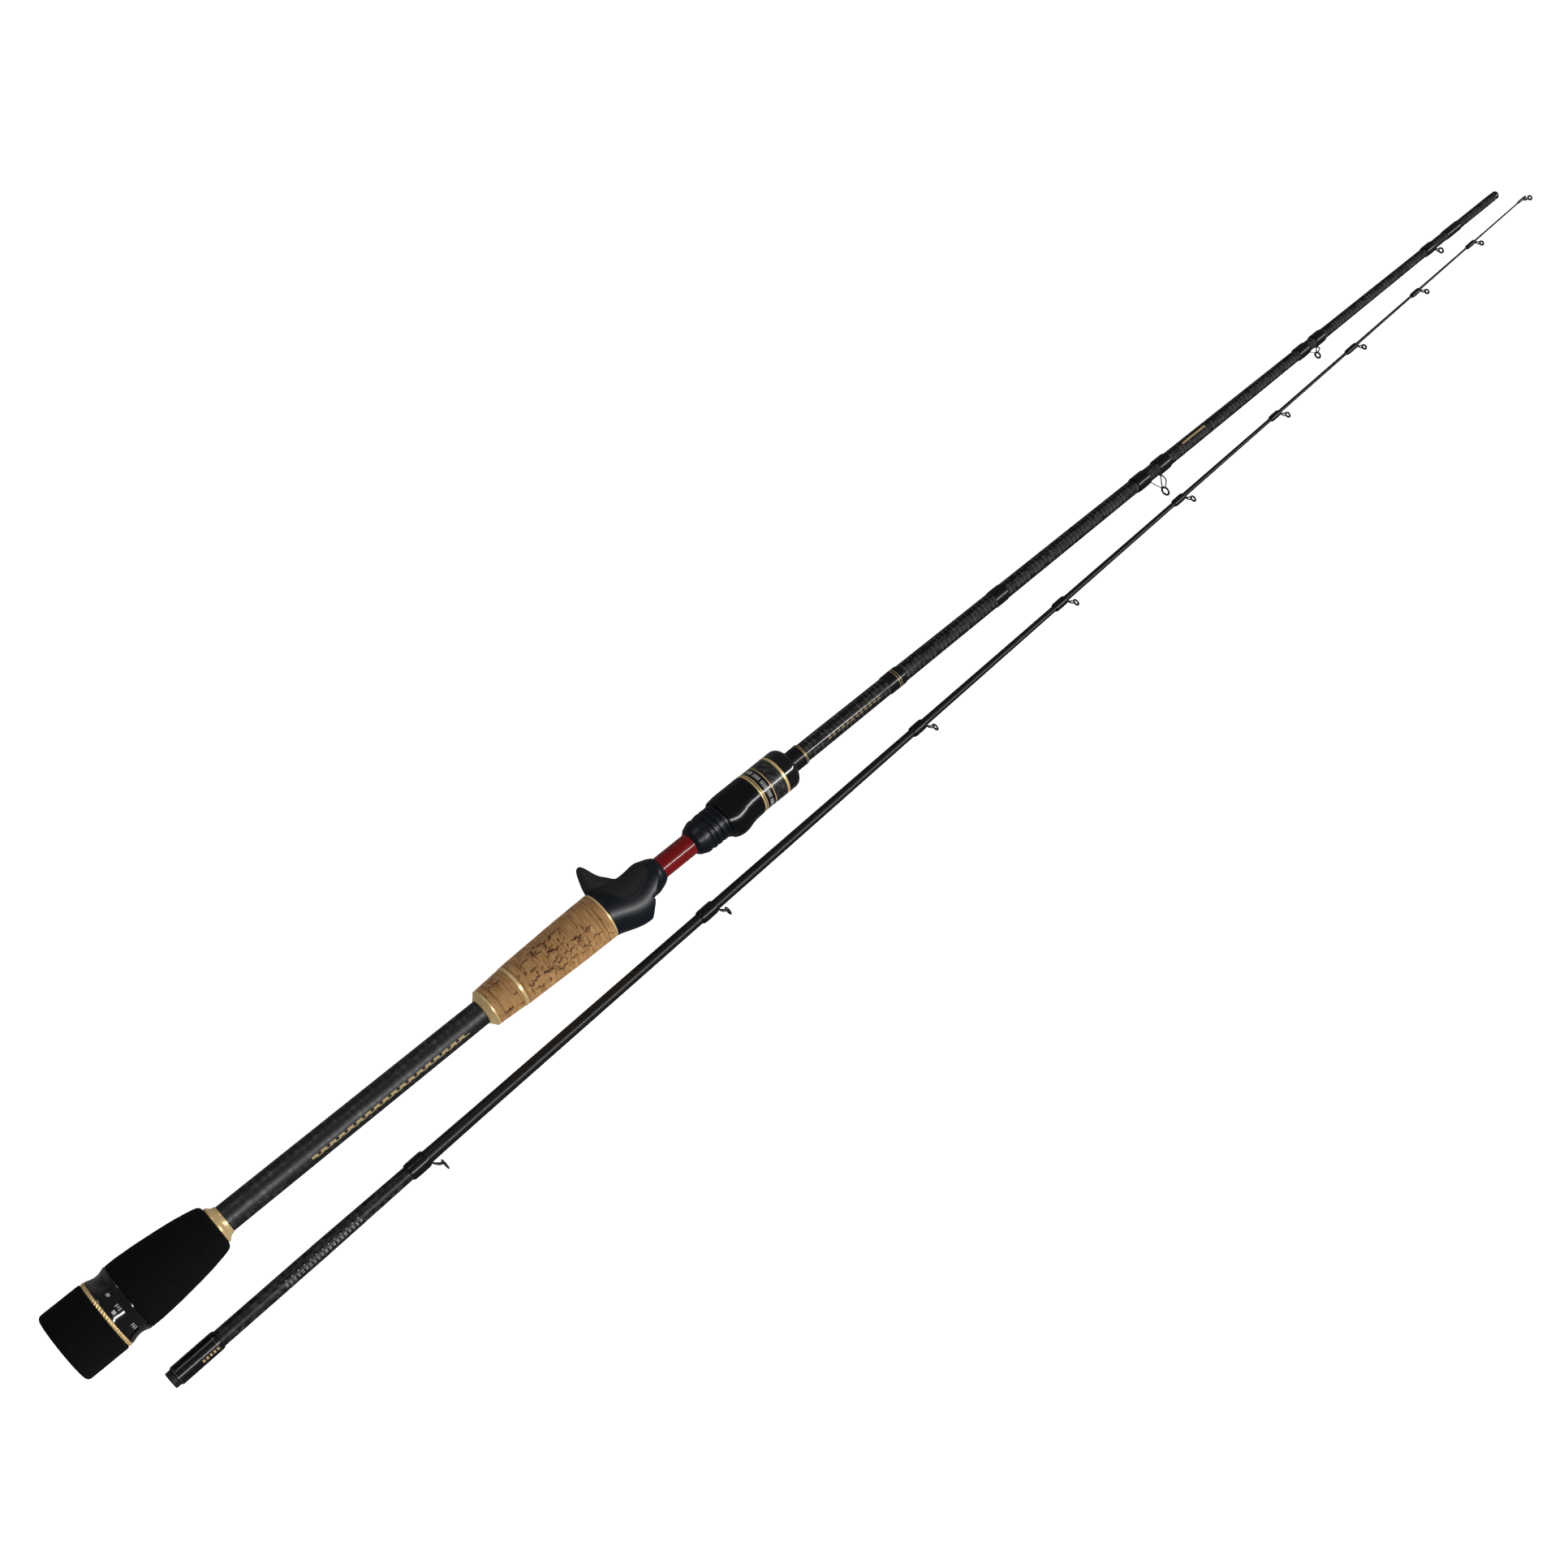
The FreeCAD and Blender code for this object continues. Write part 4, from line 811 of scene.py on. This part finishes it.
def reel_seat():
    moulded("reel_seat_moulding", "reel_seat_body", 0.23, 16, scooped, saddle_softness)
    turned("reel_seat_foam_arbor", Part("reel_seat_arbor"), step=3.0, columns=64, rear=0.0,
           front=0.0)
    turned("red_blank_tube", Part("red_blank_sleeve"), step=1.5, columns=96, rear=0.0, front=0.0)
    threaded_barrel()
    turned("barrel_foam_arbor", Part("barrel_arbor"), step=3.0, columns=64, rear=0.0, front=0.0)


def grouped_turned(name, node, **options):
    """One piece for each solid of a node; the first stands for the node."""
    for number, solid in enumerate(Part(node).solids(), 1):
        turned(f"{name}_{number}", solid, replaced=[node] if number == 1 else [], **options)


def bars(name, part, cells, paint, proud=0.03):
    """Small plain raised bars on a turned piece; each cell is (station, angle, length, width)."""
    outline = part.profile()
    points, faces = [], []
    for station, degrees, length, width in cells:
        radius = np.interp(station, *outline.T)
        half = width / 2 / radius
        for reach in (radius - 0.05, radius + proud):
            for along, turn in ((0, -half), (length, -half), (length, half), (0, half)):
                angle = math.radians(degrees) + turn
                points.append((station + along, reach * math.cos(angle), reach * math.sin(angle)))
        base = len(points) - 8
        faces += [tuple(base + corner for corner in quad) for quad in
                  ((0, 1, 2, 3), (7, 6, 5, 4), (0, 4, 5, 1), (1, 5, 6, 2), (2, 6, 7, 3), (3, 7, 4, 0))]
    return outward(piece(name, part.section, points, faces, None, paint, part))


def dashed(start, end, pitch, degrees, width, share=0.55):
    """A row of dashes along the section."""
    return [(station, degrees, pitch * share, width) for station in np.arange(start, end, pitch)]


def decoration():
    """Plain generic marks where the rod carries its printing."""
    pipe, blank = Part("rear_handle_tube"), Part("butt_blank")
    bars("pipe_gold_dashes", pipe, dashed(128, 218, 5.0, 134, 1.3, 0.66)
         + dashed(130.2, 216, 5.0, 142, 0.4, 0.8), "gold_print")
    bars("blank_gold_dashes", blank, dashed(462, 500, 3.4, 126, 1.5, 0.6), "gold_print")
    bars("blank_gold_stripe", blank, [(764, 78, 21, 1.1)], "gold_print", 0.25)
    wrap = Part("tip_ferrule_wrap")
    bars("ferrule_gold_dashes", wrap, dashed(15, 24.5, 1.9, 136, 1.5, 0.6), "gold_print", 0.06)
    tip = Part("tip_blank")
    bars("tip_silver_dots", tip, dashed(62, 104, 3.4, 102, 0.5, 0.16)
         + dashed(61, 104, 2.2, 128, 1.3, 0.5), "silver_print")
    collar = Part("butt_collar")
    bars("collar_silver_ticks", collar,
         [(29.6, 96, 1.5, 1.6), (24.6, 106, 1.6, 1.8), (27.0, 100, 2.6, 0.5), (27.4, 104, 2.4, 0.5),
          (26.8, 108, 2.8, 0.5), (30.0, 103, 1.0, 0.4), (30.0, 106, 1.0, 0.4),
          (24.4, 112, 1.0, 0.4), (24.4, 115, 1.0, 0.4), (26.4, 142, 2.8, 0.5),
          (26.4, 147, 2.8, 0.5), (26.4, 152, 2.8, 0.5)], "silver_print")


def sliding_hood():
    """A thin bell round the barrel, with a pocket for the reel's foot on the guide side."""
    hood = Part("sliding_hood")
    columns, smoothing, edge, wall = 192, 40, 0.25, 0.5
    pocket_front, pocket_half_angle = hood.start + 11.7, math.radians(29)
    rear, front = hood.start + 0.01, hood.end - 0.01
    angles = np.arange(columns) / columns * TAU
    bore = np.full(columns, hood.radii.min())
    off_side = np.abs(np.mod(angles - GUIDE_SIDE + math.pi, TAU) - math.pi)
    pocket = np.where(off_side < pocket_half_angle, hood.reach(rear, GUIDE_SIDE) - wall, bore)

    def detail(station, angle, radius):
        skin = np.array([[hood.reach(min(max(s, rear), front), a) for a in angle[0]]
                         for s in station[:, 0]])
        for _ in range(smoothing):
            skin = (np.roll(skin, 1, axis=1) + 2 * skin + np.roll(skin, -1, axis=1)) / 4
            skin[1:-1] = (skin[:-2] + 2 * skin[1:-1] + skin[2:]) / 4
        inside = np.clip(edge - np.minimum(station - hood.start, hood.end - station), 0.0, edge)
        return skin - edge + np.sqrt(edge ** 2 - inside ** 2)

    made = turned("sliding_hood_moulding", hood, step=0.3, columns=columns, detail=detail,
                  inner=[(hood.end, bore), (pocket_front, bore), (pocket_front, pocket),
                         (hood.start, pocket)])
    gloss = made.data.attributes.new("gloss", "FLOAT", "POINT")
    gloss.data.foreach_set("value", np.ones(len(made.data.vertices), np.float32))


def hood_and_nut():
    sliding_hood()
    turned("hood_inner_liner", Part("hood_liner"), step=1.0, columns=96)
    turned("nut_core", Part("lock_nut_core"), step=2.0, columns=96)
    grouped_turned("nut_gold_ring", "nut_trim_rings", step=0.12, rear=0.25, front=0.25,
                   columns=128)
    grouped_turned("nut_black_band", "nut_band", step=0.3, rear=0.08, front=0.08,
                   columns=128)
    band = Part("nut_band").solids()[-1]
    length = band.end - band.start
    bars("nut_band_ticks", band, [(band.start + 0.3 * length, 4.8 * k, 0.4 * length, 0.45)
                                  for k in range(75) if k % 6], "silver_print")
    sleeve = Part("nut_carbon_sleeve")
    turned("nut_marbled_sleeve", sleeve, step=0.4, rear=0.1, front=0.1, columns=128)
    cap = Part("nut_end_cap")
    hole, wall = cap.radii.min(), cap.end - 2.8
    cap_bore = cap.radii[cap.points[:, 0] < cap.start + 0.1].min()
    turned("nut_gloss_cap", cap, step=0.2, front=0.0, columns=128,
           inner=[(cap.end, hole), (wall, hole), (wall, cap_bore), (cap.start, cap_bore)])


# ---------------------------------------------------------------- blanks and wraps
def blanks():
    butt = Part("butt_blank")
    turned("butt_braided_blank", butt, step=2.0, rear=0.0, front=0.0, columns=72)
    tip = Part("tip_blank")
    socket = MOUNTS["female_ferrule"]["dims"]
    depth, radius = socket["length_mm"], socket["r_mm"]
    turned("tip_satin_blank", tip, step=2.0, rear=0.25, front=0.0, columns=48,
           inner=[(tip.end, 0.2), (depth, 0.85 * radius), (depth, radius), (tip.start, radius)])
    turned("ferrule_end_plug", Part("ferrule_plug"), step=0.3, rear=0.0, front=0.0, columns=64)


def lacquered(part, bulge):
    """A wrap's lacquer, drawn up over the guide's foot and pulled thin at both ends."""
    length = part.end - part.start

    def detail(station, angle, radius):
        share = np.clip((station - part.start) / length, 0, 1)
        swell = np.sin(np.pi * share) ** 0.7
        over_foot = np.exp(-((np.mod(angle - GUIDE_SIDE + math.pi, TAU) - math.pi) / 0.5) ** 2)
        uneven = 0.02 * noisy(station, angle, radius, 2.2, part.start)
        return radius + (bulge * over_foot + uneven) * swell

    return detail


def wrap(name, part, bulge=0.0, replaced=None):
    turned(name, part, step=0.35, soften=0.9, rear=0.0, front=0.0, columns=64,
           detail=lacquered(part, bulge), replaced=replaced)


def wraps():
    over_foot = 0.12
    for node in ("foregrip_wrap", "deco_wrap", "plain_wrap", "ferrule_wrap", "tip_ferrule_wrap"):
        wrap(f"{node}_lacquer", Part(node))
    wrap("third_guide_wrap_lacquer", Part("third_guide_wrap"), over_foot)
    for node in ("stripping_guide_wraps", "second_guide_wraps", "tip_guide_wraps"):
        for number, solid in enumerate(Part(node).solids(), 1):
            wrap(f"{node}_lacquer_{number}", solid, over_foot, [node] if number == 1 else [])
    for node in ("foregrip_wrap_trims", "deco_wrap_trims", "tip_ferrule_rings"):
        grouped_turned(f"{node}_thread", node, step=0.1, rear=0.05, front=0.05, columns=96)


# ---------------------------------------------------------------- line guides
def ring_of(part):
    """A guide's ring: its centre and its outer radius, from the CAD ring's box."""
    return part.centre, (part.points[:, 2].max() - part.points[:, 2].min()) / 2


def foot_plate(start, end, radius, sharp_end):
    """A guide's foot: a strip hammered flat on the blank, thinning towards one end."""
    rows, columns = 16, 9
    points = []
    for row in range(rows):
        share = row / (rows - 1)
        station = start + (end - start) * share
        towards = share if sharp_end == "front" else 1 - share
        thin = 1 - 0.75 * towards ** 2
        half = math.radians(17) * (1 - 0.5 * towards)
        for layer in (0, 1):
            reach = radius + 0.03 + layer * 0.28 * thin
            for k in range(columns):
                angle = GUIDE_SIDE + half * (2 * k / (columns - 1) - 1)
                crown = 1 - layer * 0.12 * (2 * k / (columns - 1) - 1) ** 2 * thin / radius
                points.append((station, reach * crown * math.cos(angle),
                               reach * crown * math.sin(angle)))
    faces = []
    loop = list(range(columns)) + [2 * columns - 1 - k for k in range(columns)]
    for row in range(rows - 1):
        here, there = row * 2 * columns, (row + 1) * 2 * columns
        for k in range(len(loop)):
            a, b = loop[k], loop[(k + 1) % len(loop)]
            faces.append((here + a, here + b, there + b, there + a))
    faces.append(tuple(loop))
    faces.append(tuple((rows - 1) * 2 * columns + k for k in reversed(loop)))
    return np.array(points), faces


def arms(start_station, radius, centre, hoop, bow, spread=0.7):
    """Two bowed wires from a foot to the sides of the hoop."""
    made = []
    for side in (1, -1):
        base = (start_station, -radius - WIRE, 0.35 * side)
        knee = ((start_station + centre[0]) / 2 + bow, (centre[1] - radius) / 2 - 0.4,
                spread * hoop * side)
        join = (centre[0], centre[1] + 0.45 * hoop, 0.89 * hoop * side)
        made.append(tube(curve(base, knee, join), 1.25 * WIRE))
    return made


def insert(name, ring, replaced):
    """The hard ring: a smooth rounded band inside the hoop."""
    centre, outer = ring_of(ring)
    points, faces = torus(centre, outer - RING_WALL / 2, RING_WALL / 2, columns=64, sides=16,
                          depth=(ring.end - ring.start) / RING_WALL)
    outward(piece(name, ring.section, points, faces, None, "guide_ring", ring, replaced))
    return centre, outer


def guide_frame(name, frame_part, shapes):
    points, faces = joined(*shapes)
    outward(piece(name, frame_part.section, points, faces, None, "guide_metal", frame_part,
                  [frame_part.name]))


def double_guide(label, blank_radius):
    """A two-foot guide: a strut from the rear foot, two arms from the front one."""
    centre, outer = insert(f"{label}_hard_ring", Part(f"{label}_ring"), [f"{label}_ring"])
    hoop = outer + 0.9 * WIRE
    rear, front = Part(f"{label}_wraps").solids()
    frame_part = Part(f"{label}_frame")
    foot = blank_radius + 0.25
    strut = curve((rear.end + 0.5, -foot, 0.0), (rear.end + 1.4, centre[1] * 0.55, 0.0),
                  (centre[0] - 0.25, centre[1] + hoop * 0.995, 0.0))
    shapes = [foot_plate(rear.start + 1.0, rear.end + 1.0, blank_radius, "rear"),
              foot_plate(front.start - 1.0, front.end - 1.0, blank_radius, "front"),
              torus(centre, hoop, WIRE, columns=56),
              tube(strut, np.linspace(WIRE, 0.8 * WIRE, len(strut))),
              *arms(front.start - 0.5, blank_radius, centre, hoop, 0.5, 1.1)]
    guide_frame(f"{label}_wire_frame", frame_part, shapes)


def single_guide(name, frame_part, ring, wrap_part, blank_radius, replaced):
    """A one-foot guide: two arms that rise from the foot's front end and carry the ring."""
    centre, outer = insert(f"{name}_hard_ring", ring, replaced)
    hoop = outer + 0.9 * WIRE
    shapes = [foot_plate(wrap_part.start + 1.0, wrap_part.end + 1.1, blank_radius, "rear"),
              torus(centre, hoop, WIRE, columns=48),
              *arms(wrap_part.end + 0.6, blank_radius, centre, hoop, 0.2)]
    guide_frame(f"{name}_wire_frame", frame_part, shapes)


def guides():
    butt = Part("butt_blank")
    tip = Part("tip_blank")

    def blank_radius(blank, station):
        return float(np.interp(station, *blank.profile().T))

    for label in ("stripping_guide", "second_guide"):
        double_guide(label, blank_radius(butt, Part(f"{label}_wraps").start))
    third = Part("third_guide_wrap")
    single_guide("third_guide", Part("third_guide_frame"), Part("third_guide_ring"), third,
                 blank_radius(butt, third.start), ["third_guide_ring"])
    tip_wraps, tip_rings = Part("tip_guide_wraps").solids(), Part("tip_guide_rings").solids()
    for number, (over, ring) in enumerate(zip(tip_wraps, tip_rings), 1):
        single_guide(f"tip_guide_{number}", Part(f"tip_guide_{number}_frame"), ring, over,
                     blank_radius(tip, over.start), ["tip_guide_rings"] if number == 1 else [])
    tip_top(tip)


def tip_top(tip):
    """The end guide: a tube over the blank's end, two bowed wires and the last ring."""
    part = Part("tip_top_frame")
    centre, outer = insert("tip_top_hard_ring", Part("tip_top_ring"), ["tip_top_ring"])
    hoop = outer + 0.9 * WIRE
    radius = part.reach(part.start + 2.0, TRIGGER_SIDE)
    tube_end = tip.end - 1.0
    wall, edge, columns = 0.3, 0.06, 32
    outline = [(part.start, radius - wall), (part.start, radius - edge), (part.start + 0.3, radius),
               (tube_end - 0.3, radius), (tube_end, radius - edge), (tube_end, radius - wall)]
    sleeve = []
    for station, reach in outline:
        for k in range(columns):
            turn = k / columns * TAU
            sleeve.append((station, reach * math.cos(turn), reach * math.sin(turn)))
    faces, _ = lathe_faces(len(outline), columns, True)
    shapes = [(np.array(sleeve), faces), torus(centre, hoop, WIRE, columns=48),
              *arms(tube_end - 2.5, radius - WIRE, centre, hoop, 0.1)]
    guide_frame("tip_top_wire_frame", part, shapes)


# ---------------------------------------------------------------- camera, floor and light
def look(location, forward, up, lens):
    data = bpy.data.cameras.new("camera")
    data.lens, data.sensor_width = lens, 36.0
    data.clip_start, data.clip_end = 0.01, 20.0
    camera = bpy.data.objects.new("camera", data)
    bpy.context.scene.collection.objects.link(camera)
    f = Vector(forward).normalized()
    u = (Vector(up) - f * f.dot(Vector(up))).normalized()
    turn = Matrix((f.cross(u), u, -f)).transposed().to_4x4()
    camera.matrix_world = Matrix.Translation(location) @ turn
    bpy.context.scene.camera = camera


def floor_and_sky():
    mesh = bpy.data.meshes.new("floor")
    mesh.from_pydata([(-6, -6, 0), (6, -6, 0), (6, 6, 0), (-6, 6, 0)], [], [(0, 1, 2, 3)])
    floor = bpy.data.objects.new("floor", mesh)
    bpy.context.scene.collection.objects.link(floor)
    floor.location.z = -0.0003
    floor.visible_glossy = False
    paint = Paint("floor_paint", (0.8, 0.8, 0.8), 0.9)
    paint.set("Emission Color", (1, 1, 1, 1))
    paint.set("Emission Strength", 0.97)
    mesh.materials.append(paint.material)
    world = bpy.data.worlds.new("world")
    world.use_nodes = True
    world.node_tree.nodes["Background"].inputs["Color"].default_value = (1, 1, 1, 1)
    world.node_tree.nodes["Background"].inputs["Strength"].default_value = 0.1
    bpy.context.scene.world = world


def softbox(name, centre, target, size, power):
    data = bpy.data.lights.new(name, "AREA")
    data.shape, data.size, data.size_y, data.energy = "RECTANGLE", size[0], size[1], power
    lamp = bpy.data.objects.new(name, data)
    lamp.location = centre
    lamp.rotation_euler = (Vector(target) - Vector(centre)).to_track_quat("-Z", "Y").to_euler()
    bpy.context.scene.collection.objects.link(lamp)


butt_end()
handle_pipe()
cork_handle()
reel_seat()
hood_and_nut()
blanks()
wraps()
guides()
decoration()

look((-0.484, -0.1576, 0.8632), (0.3766, 0.1724, -0.9102), (0.5854, 0.7172, 0.3781), 41.13)
floor_and_sky()
softbox("key", (0.9, -1.0, 1.23), (0.9, 0, 0), (3.6, 0.13), 36)
softbox("rear", (-0.5, 0.9, 1.3), (-0.2, 0, 0), (0.5, 0.3), 1.5)
bpy.context.scene.view_settings.view_transform = "Standard"
